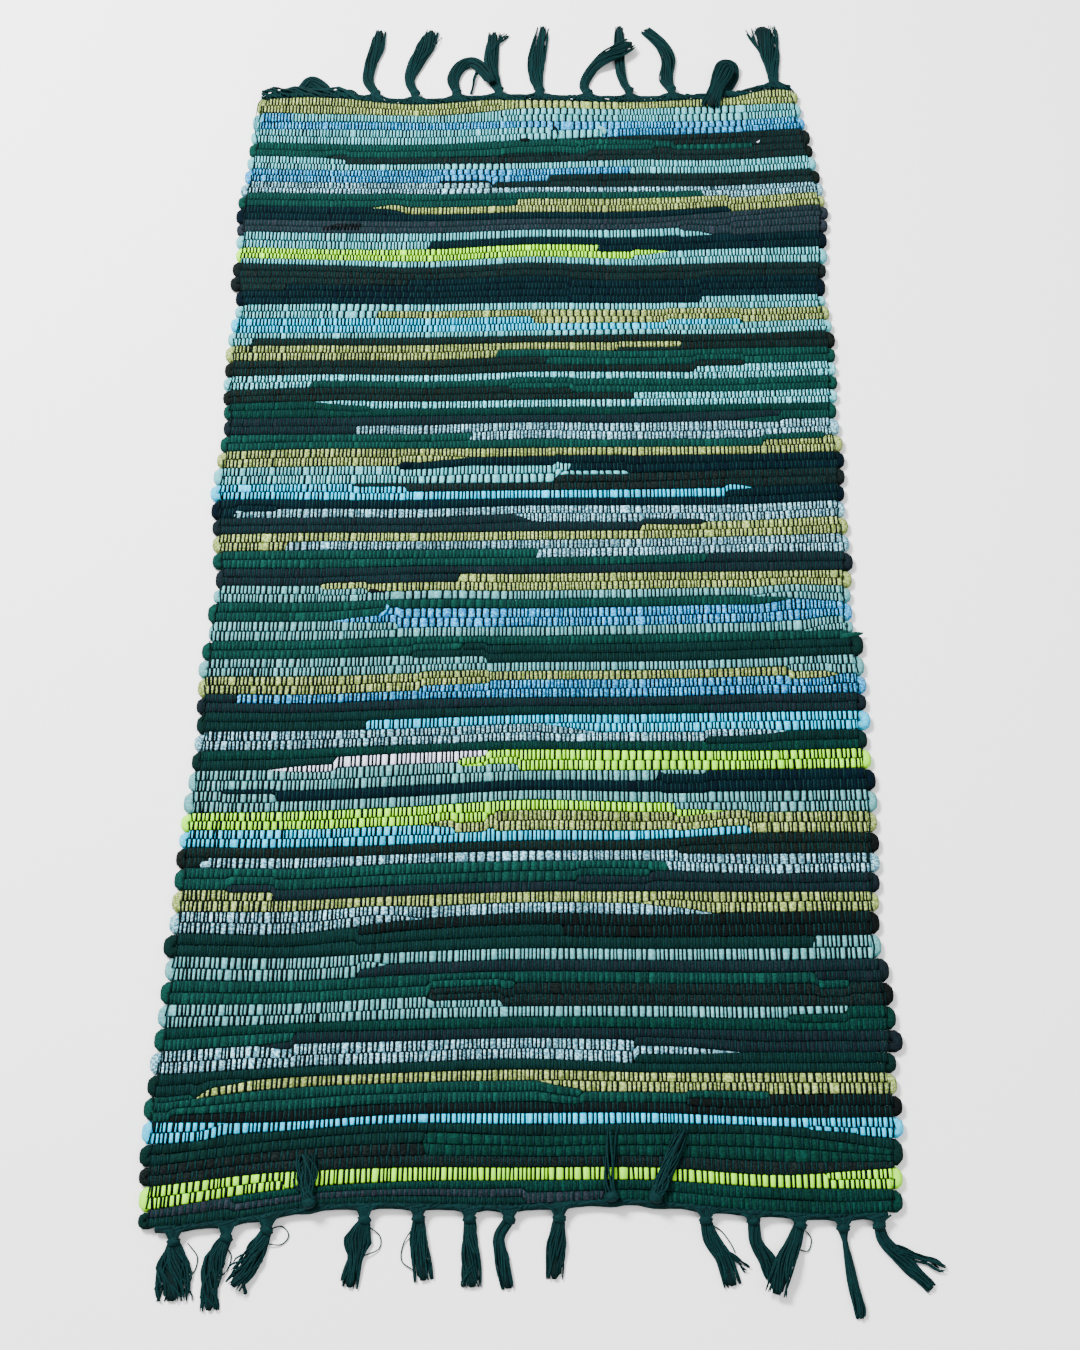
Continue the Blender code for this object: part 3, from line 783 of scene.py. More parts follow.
slots = np.arange(SLOTS_FROM, SLOTS_TO, CROSSING_PITCH)
for x in slots:
    near, far = SLOTS_Y
    far -= SHORT_BY * smooth_step((SLOTS_FROM + SHORT_OVER - x) / SHORT_OVER)
    warp_crossing(heap("black"), float(x), near, far, SLOT_LEAN, SLOT_WIDTH, 0.0, SLOT_TOP)
print("slots:", len(slots))

# %% [markdown]
# ## The selvages
#
# At each side a strip turns round the outermost warp thread and comes back as another row.
# The turn is a smooth fat loop, two rows high, in the strip's own colour. A bent curve with a
# bevel could make it, but its thickness has to change along the way, so each turn is a tube of
# its own that is bent into a U and swells where it turns.

# %% Where the turns are
# The turns from the far end down: the lowest y of each, its colour and, if it isn't the
# usual one, how far out it reaches.
LEFT_TOP = 597
LEFT_TURNS = (
    (575, "olive"), (550, "aqua"), (532, "aqua"), (513, "emerald"), (495, "aqua"),
    (475, "cornflower"), (458, "ice"), (441, "emerald"), (420, "navy"), (404, "slate"),
    (387, "aqua"), (369, "lime", 305), (350, "charcoal", 307), (331, "charcoal", 308),
    (311, "navy"), (296, "aqua"), (278, "sky"), (260, "aqua", 304), (240, "olive"),
    (221, "blackgreen", 305), (205, "paleaqua"), (188, "blackgreen"), (170, "emerald"),
    (150, "darkslate"), (131, "emerald"), (113, "olive"), (93, "aqua"), (75, "sky", 305),
    (54, "navy"), (36, "darkslate"), (17, "olive"), (-1, "emerald"), (-23, "darkslate", 293),
    (-38, "greyaqua", 292), (-59, "emerald"), (-79, "greyaqua", 294), (-98, "emerald"),
    (-116, "greyaqua"), (-136, "olive"), (-153, "darkslate"), (-173, "bottle"), (-190, "ice"),
    (-209, "bottle"), (-229, "greyaqua"), (-250, "greyaqua"), (-267, "lime"),
    (-282, "sky"), (-301, "blackgreen"), (-321, "emerald"), (-341, "olive"), (-360, "ice"),
    (-381, "bottle", 306), (-401, "greyaqua"), (-421, "emerald", 304), (-441, "greyaqua"),
    (-461, "emerald"), (-480, "ice"), (-498, "bottle"), (-517, "emerald"),
    (-536, "sky", 306), (-554, "bottle"), (-569, "charcoal"), (-589, "lime", 304),
    (-602, "bottle"),
)
RIGHT_TOP = 599
RIGHT_TURNS = (
    (581, "olive"), (560, "aqua"), (543, "cornflower"), (521, "charcoal"),
    (504, "blackgreen"), (485, "aqua"), (467, "blackgreen", 305), (450, "ice"),
    (435, "olive"), (418, "slate"), (401, "slate", 308), (379, "navy"), (359, "aqua"),
    (341, "charcoal"), (316, "navy"), (304, "aqua"), (286, "olive"), (271, "aqua"),
    (251, "blackgreen", 304), (233, "emerald"), (217, "paleaqua"), (200, "emerald"),
    (184, "paleaqua"), (165, "emerald"), (145, "ice"), (126, "olive"), (107, "navy", 303),
    (88, "charcoal"), (69, "navy"), (51, "ice"), (32, "olive"), (12, "ice"),
    (-8, "darkslate"), (-26, "olive"), (-42, "greyaqua"), (-61, "cornflower"), (-74, "greyaqua"),
    (-98, "bottle", 305), (-118, "greyaqua"), (-136, "cornflower"), (-153, "darkslate"),
    (-172, "sky", 304), (-191, "bottle"), (-210, "lime"), (-231, "navy", 304),
    (-251, "greyaqua"), (-270, "olive"), (-289, "black"), (-307, "ice"), (-325, "darkslate"),
    (-342, "olive"), (-362, "black"), (-383, "greyaqua"), (-404, "darkslate"),
    (-424, "black", 303), (-444, "pine"), (-463, "darkslate", 306), (-480, "bottle"),
    (-498, "olive"), (-515, "black"), (-532, "sky"), (-554, "bottle"), (-572, "lime"),
    (-590, "pine"),
)
print("turns at the left and at the right:", len(LEFT_TURNS), len(RIGHT_TURNS))

# %% The shape of a turn
TURN_LONG = 12.0
# The path of a turn, from its lower to its upper arm: how far out, how far from the turn's
# middle in quarters of its height, and how thick.
TURN_PATH = (
    (0.00, -1.00, 0.80), (0.35, -1.00, 0.92), (0.80, -1.00, 0.98), (0.97, -0.74, 0.96),
    (1.00, -0.36, 0.98), (1.00, 0.00, 0.96), (1.00, 0.36, 0.98), (0.97, 0.74, 0.96),
    (0.80, 1.00, 0.98), (0.35, 1.00, 0.92), (0.00, 1.00, 0.80),
)
TURN_SIDES = 8
TURN_THICK, TURN_LIFT = 3.55, 0.15
# How much of its thickness a turn has where it leaves the cloth, and gains on the way out.
TURN_THICK_IN, TURN_THICK_GAIN = 0.86, 0.2
TURN_ARM_END = 0.8
TURN_ROUND = 0.96
TURN_REACH_LUCK = 0.8
TURN_TONES = (0.35, 0.6)
# How much shade is painted on a turn: all over, where it leaves the cloth, how soon that fades
# on the way out, and at its sides.
TURN_PAINTED_SHADE, TURN_PAINTED_SHADE_IN, TURN_PAINTED_SHADE_FADE, TURN_PAINTED_SHADE_SIDES = 0.12, 0.9, 1.6, 0.35


def step_at(route, i):
    """The step from the point before to the point after, at one point of a route."""
    return route[min(i + 1, len(route) - 1)] - route[max(i - 1, 0)]


def turn_painted_shade(out, angle):
    """How much shade is painted on a turn at one of its points."""
    inside = max(0.0, TURN_PAINTED_SHADE_IN - TURN_PAINTED_SHADE_FADE * out)
    return TURN_PAINTED_SHADE + inside + TURN_PAINTED_SHADE_SIDES * abs(math.cos(angle)) ** 2


def selvage_turn(side, top, low, colour, reach, luck):
    """One loop of a strip round the outermost warp."""
    quarter = (top - low) / 4
    middle = (top + low) / 2
    edge = abs(side_edge(side, middle))
    outer = (reach or edge) + luck.uniform(-TURN_REACH_LUCK, TURN_REACH_LUCK)
    root = min(outer, edge) - TURN_LONG
    span = outer - root - quarter * TURN_ROUND
    route = [
        Vector((side * (root + out * span), middle + along * quarter, 0.0))
        for out, along, _ in TURN_PATH
    ]
    points, painted_shade = [], []
    for i, (out, _, thick) in enumerate(TURN_PATH):
        ahead = step_at(route, i)
        across = Vector((ahead.y, -ahead.x, 0.0)).normalized()
        wide = quarter * thick * (1.0 if 0 < i < len(route) - 1 else TURN_ARM_END)
        high = TURN_THICK * (TURN_THICK_IN + TURN_THICK_GAIN * out)
        for k in range(TURN_SIDES):
            angle = math.tau * (k + 0.5) / TURN_SIDES
            spot = route[i] + across * wide * math.cos(angle)
            spot.z = TURN_THICK + TURN_LIFT + high * math.sin(angle)
            points.append((spot.x, spot.y, max(spot.z, 0.0)))
            painted_shade.append(turn_painted_shade(out, angle))
    quads, caps = ring_faces(len(TURN_PATH), TURN_SIDES)
    if side < 0:
        quads = quads[:, ::-1]
        caps = [cap[::-1] for cap in caps]
    heap(colour).add(part_frame(points), quads, caps, luck.uniform(*TURN_TONES), painted_shade)


print("points in a turn:", len(TURN_PATH) * TURN_SIDES)

# %% All turns
TURN_SEED = 29

turn_luck = random.Random(TURN_SEED)
for side, top, turns in ((-1, LEFT_TOP, LEFT_TURNS), (1, RIGHT_TOP, RIGHT_TURNS)):
    for low, colour, *reach in turns:
        selvage_turn(side, top, low, colour, reach[0] if reach else None, turn_luck)
        top = low
print("turns:", len(LEFT_TURNS) + len(RIGHT_TURNS))

# %% [markdown]
# ## The warp inside
#
# Inside the cloth the warp lies flat between the strips of neighbouring rows. Its threads
# could be woven there one by one, but they only show through gaps, so a thin dark sheet
# stands for them, a little smaller than the rug.

# %% The warp ground
GROUND_LOW, GROUND_HIGH = 3.0, 4.1
GROUND_INSET = 6.0
GROUND_LEFT, GROUND_RIGHT = -286.0, 284.0
GROUND_COLUMNS, GROUND_ROWS = 33, 29


def warp_ground():
    """A thin closed sheet with the rug's outline."""
    across = np.linspace(GROUND_LEFT, GROUND_RIGHT, GROUND_COLUMNS)
    along = np.linspace(0.0, 1.0, GROUND_ROWS)
    far = lines[0](across) - GROUND_INSET
    near = lines[-1](across) + GROUND_INSET
    x = np.broadcast_to(across[None], (len(along), len(across)))
    y = far[None] + (near - far)[None] * along[:, None]
    top = np.stack([x, y, np.full(x.shape, GROUND_HIGH)], axis=2)
    bottom = np.stack([x, y, np.full(x.shape, GROUND_LOW)], axis=2)
    rows, columns = x.shape
    at = np.arange(rows * columns).reshape(rows, columns)
    square = np.stack([at[1:, :-1], at[1:, 1:], at[:-1, 1:], at[:-1, :-1]], axis=2)
    rim = np.concatenate([at[0, :-1], at[:-1, -1], at[-1, :0:-1], at[:0:-1, 0]])
    following = np.roll(rim, -1)
    under = at.size
    sides = np.stack([rim, following, following + under, rim + under], axis=1)
    quads = np.concatenate([square.reshape(-1, 4), square.reshape(-1, 4)[:, ::-1] + under, sides])
    heap("warp_ground").add(part_frame(np.concatenate([top, bottom])), quads)


warp_ground()
print("points in the warp ground:", heap("warp_ground").count)

# %% [markdown]
# ## The fringes
#
# At each end some twenty warp threads at a time are drawn together and tied in an overhand
# knot against the last row, and their ends are left as a tassel. Between knots the threads
# run along the edge in low swags. A tassel could be one shape with a striped finish, but its
# loose threads are what the eye sees, so each thread is a tube of its own.

# %% Tubes
# A route that is steeper than this has no level direction across it.
NEARLY_UPRIGHT = 0.05


def curve_through(points, steps):
    """Points on a smooth curve through the given ones."""
    points = [Vector(point) for point in points]
    padded = [2 * points[0] - points[1], *points, 2 * points[-1] - points[-2]]
    curve = []
    for before, start, end, after in zip(padded, padded[1:], padded[2:], padded[3:]):
        for i in range(steps):
            t = i / steps
            straight = 2 * start + (end - before) * t
            bend = (2 * before - 5 * start + 4 * end - after) * t**2
            twist = (3 * start - before - 3 * end + after) * t**3
            curve.append(0.5 * (straight + bend + twist))
    curve.append(points[-1])
    return curve


def tube(target, route, radii, sides, tone):
    """A closed tube along a route in chart millimetres."""
    up = Vector((0.0, 0.0, 1.0))
    points = []
    across = None
    for i, spot in enumerate(route):
        ahead = step_at(route, i).normalized()
        if across is None:
            across = ahead.cross(up)
            across = across if across.length > NEARLY_UPRIGHT else Vector((1.0, 0.0, 0.0))
        across = across - ahead * across.dot(ahead)
        across.normalize()
        raised = across.cross(ahead)
        for k in range(sides):
            angle = -math.tau * k / sides
            corner = spot + (across * math.cos(angle) + raised * math.sin(angle)) * radii[i]
            points.append((corner.x, corner.y, max(corner.z, 0.0)))
    quads, caps = ring_faces(len(route), sides)
    target.add(part_frame(points), quads, caps, tone)


curve = curve_through(((0, 0, 0), (1, 0, 0), (1, 1, 0)), 4)
print("a curve through three points has", len(curve), "points")

# %% [markdown]
# ### The paths of the tassels
#
# A tassel lies as it fell. A cloth simulation could drop them, but these have places of their
# own in the picture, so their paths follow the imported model's closely: the knot, then points
# along the tail with its width and how high it lies there. Those on the cloth were flicked
# back, and one that lies across its neighbour is lifted over it.

# %% Tassels of the far end
ON_CLOTH = 8.3
ACROSS = 6.3
FAR_TASSELS = (
    ((-281, 599, 0), (-276, 604, 9, 1), (-266, 608, 10, 1), (-256, 604, 8, 1)),
    ((-257, 600, 0), (-252, 613, 9, 0), (-243, 624, 12, 1), (-231, 616, 11, 1),
     (-221, 606, 9, 1), (-214, 600, 8, 1)),
    ((-212, 599, 0), (-206, 605, 8, 1), (-198, 605, 9, 1), (-190, 599, 7, 1)),
    ((-170, 599, 0), (-180, 625, 10, 0), (-178.5, 650, 12, 0), (-172.5, 675, 13, 0),
     (-169, 702, 10, 0)),
    ((-127, 598, 0), (-134.5, 625, 9, 0), (-128.5, 650, 14, 0), (-118.5, 675, 17, 0),
     (-112, 701, 13, 0)),
    ((-82, 599, 0), (-86.5, 625, 11, 0), (-79, 645, 12, 0), (-68, 651.5, 12, 0),
     (-58, 642, 12, 3), (-49, 624, 10, ACROSS), (-44, 614, 7, ACROSS)),
    ((-36, 602, 0), (-42, 625, 12, 0), (-45, 655, 14, 0), (-42, 697, 12, 0)),
    ((9, 600, 0), (5, 625, 12, 0), (6, 655, 15, 0), (12, 705, 11, 0)),
    ((61, 596.5, 0), (57, 615, 8, 0), (66, 637, 10, 1), (80, 649, 14, ACROSS),
     (95, 660, 16, ACROSS), (110, 673, 14, 5.5)),
    ((106, 599, 0), (99.5, 622, 8, 0), (96, 655, 10, 0), (97, 704, 9, 0)),
    ((152, 600, 0), (147, 622, 12, 0), (150, 650, 13, 0), (142, 677, 12, 0),
     (125, 698, 11, 0)),
    ((208, 597, 0), (213, 610, 12, 0), (217, 624, 15, 0), (216, 634, 16, 4.5),
     (211, 631, 17, 8.0), (206, 617, 17, 9.0), (200, 599, 13, 9.6), (192, 573, 17, ON_CLOTH)),
    ((264, 603.5, 0), (263, 635, 12, 0), (261, 662, 18, 0), (254, 700, 29, 0)),
)

print("far tassels:", len(FAR_TASSELS))

# %% Tassels of the near end
# How high a knot lies that was flicked back onto the cloth.
KNOT_ON_CLOTH = 8.8
NEAR_TASSELS = (
    ((-273, -610, 0), (-271.5, -630, 24, 0), (-271, -655, 23, 0)),
    ((-232, -607, 0), (-240, -625, 14, 0), (-242.5, -642, 12, 0), (-241, -662, 14, 0)),
    ((-201, -601, 0), (-210, -622, 14, 0), (-224, -645, 15, 5)),
    ((-168, -584, KNOT_ON_CLOTH), (-171, -572, 10, ON_CLOTH), (-172, -545, 14, ON_CLOTH)),
    ((-125, -593.5, 0), (-129.5, -610, 19, 0), (-131, -625, 11, 0), (-135, -645, 13, 0)),
    ((-83, -592.5, 0), (-82, -612, 13, 0), (-77, -640, 14, 0)),
    ((-43, -593, 0), (-42, -615, 12, 0), (-40, -645, 15, 0)),
    ((-12, -593, 0), (-20, -608, 8, 0), (-17, -625, 11, 0), (-13, -646, 10, 0)),
    ((27, -592.5, 0), (25, -612, 13, 0), (23, -639, 13, 0)),
    ((68, -579, KNOT_ON_CLOTH), (66.5, -566, 8, ON_CLOTH), (69, -523, 8, ON_CLOTH)),
    ((102, -580, KNOT_ON_CLOTH), (108, -566, 10, ON_CLOTH), (126, -527, 9, ON_CLOTH)),
    ((141, -594, 0), (144, -608, 11, 0), (154, -625, 12, 0), (160, -644, 13, 0)),
    ((178, -594.5, 0), (179, -611, 10, 0), (187, -625, 12, 0), (195, -643, 14, 0)),
    ((214, -597.5, 0), (208, -612, 11, 1.5), (199, -630, 14, ACROSS), (192, -651, 16, 5.5)),
    ((247, -600, 0), (247.7, -611, 4, 0), (250, -630, 6, 0), (253, -648, 8.5, 0),
     (255.5, -661, 10, 0), (256, -668, 7, 0)),
    ((275, -598.5, 0), (278, -611, 9, 0), (290, -624, 11, 0), (302, -636, 8.5, 0),
     (312, -646, 10, 0)),
)
print("near tassels:", len(NEAR_TASSELS))

# %% [markdown]
# ### Threads of a tail
#
# Knotted cotton frays into single threads. Hair strands would be quick to make, but they are
# lost in the export, so each thread is a thin tube. The threads lie side by side round a
# fuller core, which hides the floor between them. They turn slowly round one another, wander
# a little, and stop at different lengths.

# %% Tails
THREADS_PER_MM = 1.45
# The tails whose threads have come apart: they wander more, round a slimmer core.
LOOSE_TAILS = {"far": (), "near": (0, 1, 2, 3, 10)}
# Tails so thin that the cloth shows between their threads, and their number of threads.
SPARSE_TAILS = {"far": {}, "near": {9: 8}}
EXTRA_THREADS = {"loose": 8, "neat": 3}
LOOSENESS = {"loose": 2.2, "neat": 0.9}
CORE_WIDTH = {"loose": 0.8, "neat": 1.0}
THREAD_RADIUS = 0.78
TAIL_START_WIDE = 9.5
TAIL_FULLNESS = {"far": 1.28, "near": 1.15}
KNOT_OUT = {"far": 5.5, "near": 1.2}
TAIL_HIGH = 5.2
TAIL_STEPS = 6
THREAD_SIDES = 5
CORE_SIDES = 10
CORE_SHARE, CORE_TAPER, CORE_TIP = 0.80, 0.35, 0.4
CORE_GROOVES, CORE_GROOVE_DEPTH, CORE_TWIST = 5.0, 0.12, 4.0
CORE_DROP = 0.3
# The core is painted darker, with a low tone and painted shade, as the shade between its threads.
CORE_TONE, CORE_PAINTED_SHADE = 0.4, 0.6


def across_from(route, i):
    """The level direction across a route at one of its points."""
    ahead = step_at(route, i)
    ahead.z = 0.0
    ahead.normalize()
    return Vector((ahead.y, -ahead.x, 0.0))


def tail_route(start, tail, start_wide, fullness=1.0):
    """The path of a tail and its width at each point of the path."""
    spots = [Vector(start), *(Vector((x, y, rise)) for x, y, _, rise in tail)]
    route = curve_through(spots, TAIL_STEPS)
    given = [start_wide, *(wide * fullness for _, _, wide, _ in tail)]
    widths = np.interp(np.arange(len(route)) / TAIL_STEPS, range(len(given)), given)
    return route, widths


def tail_core(target, route, widths, luck):
    """The closed body of a tail, on which its threads lie."""
    phase = luck.uniform(0.0, math.tau)
    points = []
    for i, spot in enumerate(route):
        share = i / (len(route) - 1)
        across = across_from(route, i)
        full = CORE_SHARE * (1.0 - CORE_TAPER * share)
        full *= 1.0 if i < len(route) - 1 else CORE_TIP
        for k in range(CORE_SIDES):
            angle = -math.tau * k / CORE_SIDES
            turn = CORE_GROOVES * angle + phase + CORE_TWIST * share
            groove = 1.0 - CORE_GROOVE_DEPTH * math.sin(turn)
            side = across * math.cos(angle) * widths[i] / 2 * full * groove
            up = TAIL_HIGH / 2 * (1.0 + math.sin(angle) * full * groove)
            up = spot.z + max(up - CORE_DROP, 0.0)
            points.append((spot.x + side.x, spot.y + side.y, up))
    quads, caps = ring_faces(len(route), CORE_SIDES)
    target.add(part_frame(points), quads, caps, CORE_TONE, CORE_PAINTED_SHADE)


print("threads in a tail 12 mm wide:", int(THREADS_PER_MM * 12) + EXTRA_THREADS["neat"])

# %% The threads of a tail
# How far the threads turn round one another, in whole turns.
TAIL_TURNS = (0.10, 0.35)
THREAD_ANGLE_LUCK = 0.25
THREAD_OUT = (0.86, 1.04)
# How far a thread wanders: some do so much more.
SWAY, WILD_SHARE, WILD_SWAY, SWAY_WAVES = (0.2, 0.9), 0.12, 2.6, 9.0
# It wanders more and more from its knot on, and fully from the middle of the tail.
SWAY_GROWTH = 2.0
# The first few threads reach the tail's end, and the others stop within this share of a step.
FULL_LENGTH_THREADS = 3
SHORTER_BY = 0.8
# Towards its end a tail lies flatter on the floor.
SETTLES_FROM, SETTLES_BY = 0.6, 1.1
LEAST_HALF = 0.4
THREAD_RADIUS_LUCK = (0.85, 1.15)
THREAD_TIP = 0.5
THREAD_TONES = (0.35, 0.65)


def tail_threads(target, route, widths, count, luck, looseness):
    """The loose threads of one tail, from its knot to its end."""
    turn = luck.uniform(*TAIL_TURNS) * luck.choice((-1, 1))
    for thread in range(count):
        angle_luck = luck.uniform(-THREAD_ANGLE_LUCK, THREAD_ANGLE_LUCK)
        angle = math.tau * (thread + angle_luck) / count
        out = luck.uniform(*THREAD_OUT)
        sway = looseness * luck.uniform(*SWAY)
        sway *= WILD_SWAY if luck.random() < WILD_SHARE else 1.0
        phase = luck.uniform(0.0, math.tau)
        left_out = 0
        if thread >= FULL_LENGTH_THREADS:
            left_out = int(luck.random() ** 2 * TAIL_STEPS * SHORTER_BY)
        spots = []
        for i in range(len(route) - left_out):
            share = i / (len(route) - 1)
            spin = angle + turn * math.tau * share
            half = max(widths[i] / 2 - THREAD_RADIUS, LEAST_HALF)
            sideways = out * math.cos(spin) * half
            grown = min(share * SWAY_GROWTH, 1.0)
            sideways += sway * math.sin(phase + share * SWAY_WAVES) * grown
            depth = TAIL_HIGH / 2 + out * math.sin(spin) * (TAIL_HIGH / 2 - THREAD_RADIUS)
            depth -= SETTLES_BY * smooth_step((share - SETTLES_FROM) / (1.0 - SETTLES_FROM))
            lift = Vector((0.0, 0.0, max(depth, THREAD_RADIUS)))
            spots.append(route[i] + across_from(route, i) * sideways + lift)
        radii = [THREAD_RADIUS * luck.uniform(*THREAD_RADIUS_LUCK)] * len(spots)
        radii[-1] *= THREAD_TIP
        tube(target, spots, radii, THREAD_SIDES, luck.uniform(*THREAD_TONES))


print("threads turn by up to", round(360 * TAIL_TURNS[1]), "degrees along a tail")

# %% [markdown]
# ### Knots and headings
#
# An overhand knot could be a real knotted tube, but it is pulled so tight that only a short
# fat barrel shows, with the grooves of its wraps running round it at a slant. That barrel is
# what is modelled. Along the edge the gathered threads make a soft roll, a heading, which is
# fuller at the knots than between them. A few threads come out of the cloth and sink into it.

# %% Knots
KNOT_WIDE, KNOT_HIGH, KNOT_LONG = 13.0, 8.6, 7.5
KNOT_SIDES, KNOT_RINGS = 14, 9
WRAPS, WRAP_SLANT = 2.5, 0.9
GROOVE_DEPTH, GROOVE_SHARPNESS = 0.20, 0.7
# The barrel's ends are a little open, and it bulges soon.
BARREL_FROM, BARREL_SPAN, BARREL_FULLNESS = 0.05, 0.9, 0.45
KNOT_TONE = 0.55


def knot_body(target, knot, ahead, luck):
    """The wrapped body of one knot."""
    across = Vector((ahead.y, -ahead.x, 0.0))
    centre = Vector((knot[0], knot[1], knot[2] + KNOT_HIGH / 2))
    phase = luck.uniform(0.0, math.tau)
    points = []
    for ring in range(KNOT_RINGS):
        share = ring / (KNOT_RINGS - 1)
        bulge = math.sin(math.pi * (BARREL_FROM + BARREL_SPAN * share)) ** BARREL_FULLNESS
        for k in range(KNOT_SIDES):
            angle = -math.tau * k / KNOT_SIDES
            slant = WRAPS * math.pi * share + WRAP_SLANT * math.cos(angle) + phase
            groove = 1.0 - GROOVE_DEPTH * abs(math.sin(slant)) ** GROOVE_SHARPNESS
            wide = KNOT_WIDE / 2 * bulge * groove
            high = KNOT_HIGH / 2 * bulge * groove
            spot = centre + ahead * (share - 0.5) * KNOT_LONG
            spot = spot + across * wide * math.cos(angle)
            spot.z += high * math.sin(angle)
            points.append((spot.x, spot.y, max(spot.z, 0.0)))
    quads, caps = ring_faces(KNOT_RINGS, KNOT_SIDES)
    target.add(part_frame(points), quads, caps, KNOT_TONE)


print("points in a knot:", KNOT_RINGS * KNOT_SIDES)

# %% The heading's roll
ROLL_THREADS = 9
ROLL_STEP = 6.0
ROLL_TURN = 85.0
ROLL_OUT, ROLL_UP, ROLL_MIDDLE = 3.1, 2.8, 4.7
ROLL_FROM_EDGE = 2.8
ROLL_AT_KNOT = 1.4
# How wide and how high the roll is away from a knot, and what a knot adds.
ROLL_WIDE, ROLL_HIGH = (0.72, 0.5), (0.85, 0.2)
ROLL_STRAY, ROLL_STRAY_TURN = 0.35, 0.5
STRAY_LENGTH, STRAY_STEP, STRAY_SEED = 50.0, 40.0, 200
# The far heading (1) is full, and the near one (-1) lies tight against the cloth.
ROLL_SIZE = {1: 1.7, -1: 0.55}
ROLL_ENDS = {1: (-295.0, 287.0), -1: (-288.0, 287.0)}
# The far heading is fuller at its left end, over the tassels that are tucked under it there.
TUCKED_SHARE = {1: 0.9, -1: 0.0}
TUCKED_TO, TUCKED_FADE = -205.0, 14.0
ROLL_RADIUS, ROLL_RADIUS_LUCK = 1.3, (0.9, 1.1)
HEADING_TONES = (0.3, 0.7)
SWAG_WIDE = 15.0


def heading_roll(target, edge, side, knots_x, luck):
    """The soft roll of gathered threads along one end."""
    stations = np.arange(*ROLL_ENDS[side], ROLL_STEP)
    gaps = np.abs(stations[:, None] - np.array(knots_x)[None]).min(axis=1)
    fullness = 1.0 - smooth_step(gaps / SWAG_WIDE)
    fading = smooth_step((stations - TUCKED_TO) / TUCKED_FADE)
    fullness = fullness + TUCKED_SHARE[side] * (1.0 - fading)
    for thread in range(ROLL_THREADS):
        phase = math.tau * thread / ROLL_THREADS
        wander = drift(stations, thread * STRAY_STEP, STRAY_LENGTH, STRAY_SEED + side)
        spots = []
        for x, full, stray in zip(stations, fullness, wander):
            spin = phase + math.tau * x / ROLL_TURN + ROLL_STRAY_TURN * stray
            wide = ROLL_OUT * (ROLL_WIDE[0] + ROLL_WIDE[1] * full)
            high = ROLL_UP * (ROLL_HIGH[0] + ROLL_HIGH[1] * full)
            out = ROLL_FROM_EDGE + ROLL_AT_KNOT * full + wide * math.cos(spin)
            out = (out + ROLL_STRAY * stray) * ROLL_SIZE[side]
            up = ROLL_MIDDLE + high * math.sin(spin)
            spots.append(Vector((x, float(edge(x)) + side * out, up)))
        radii = [ROLL_RADIUS * luck.uniform(*ROLL_RADIUS_LUCK) for _ in spots]
        tube(target, spots, radii, THREAD_SIDES, luck.uniform(*HEADING_TONES))


print("threads in a heading's roll:", ROLL_THREADS)

# %% Threads that join the heading
GATHER_PITCH, GATHER_PITCH_LUCK = 6.2, (0.7, 1.3)
GATHER_RADIUS = 0.9
GATHER_STEPS = 2
# How far a thread slants on its way to its knot, as a share and at most.
GATHER_SLANT, MOST_SLANT = (0.35, 0.7), 14.0
GATHER_REACH, GATHER_REACH_LUCK = 5.5, 0.7
# Its path: it starts inside the cloth's edge, arches over the roll and dips behind it.
GATHER_START = -1.0
GATHER_SHARES, GATHER_HEIGHTS = (0.0, 0.45, 1.0), (6.0, 8.2, 5.4)


def gathered(target, edge, side, low, high, knot, luck):
    """Warp threads that leave the cloth and slant through the heading towards a knot."""
    x = low + GATHER_PITCH / 2
    while x < high:
        towards = (knot[0] - x) * luck.uniform(*GATHER_SLANT)
        towards = max(-MOST_SLANT, min(MOST_SLANT, towards))
        reach = GATHER_REACH + luck.uniform(-GATHER_REACH_LUCK, GATHER_REACH_LUCK)
        reach *= ROLL_SIZE[side]
        path = []
        outs = (GATHER_START, reach / 2, reach)
        for share, out, up in zip(GATHER_SHARES, outs, GATHER_HEIGHTS):
            at = x + towards * share
            path.append((at, float(edge(at)) + side * out, up))
        route = curve_through(path, GATHER_STEPS)
        radii = [GATHER_RADIUS] * len(route)
        tube(target, route, radii, THREAD_SIDES, luck.uniform(*HEADING_TONES))
        x += GATHER_PITCH * luck.uniform(*GATHER_PITCH_LUCK)


print("threads that join a heading, about:", round(580 / GATHER_PITCH))

# %% Threads that fan into a knot
FAN_THREADS = 9
FAN_HALF, FAN_LUCK = 10.0, (0.9, 1.1)
FAN_STEPS = 3
# A thread's path: it starts at the cloth, nears the knot halfway, and ends in it. Each has how
# much is left of its way in, how far out it is, and its height.
FAN_START, FAN_HALFWAY, FAN_END = (1.0, 2.4, 7.0), (0.55, 5.0, 7.4), (0.22, 0.5, 6.0)


def knot_fan(target, edge, side, knot, luck):
    """The threads that draw together from the heading into a knot."""
    for thread in range(FAN_THREADS):
        away = (thread / (FAN_THREADS - 1) - 0.5) * 2 * FAN_HALF * luck.uniform(*FAN_LUCK)
        levels = (float(edge(knot[0] + away)), float(edge(knot[0])), knot[1])
        path = [
            (knot[0] + away * left, level + side * out, up)
            for level, (left, out, up) in zip(levels, (FAN_START, FAN_HALFWAY, FAN_END))
        ]
        route = curve_through(path, FAN_STEPS)
        radii = [GATHER_RADIUS] * len(route)
        tube(target, route, radii, THREAD_SIDES, luck.uniform(*HEADING_TONES))


print("threads in a fan:", FAN_THREADS)

# %% [markdown]
# ### Splits and strays
#
# Some tails split near the end, and here and there a single thread stands out in a loop.
# Chance could place these too, but they are few and easy to see, so each follows the picture.

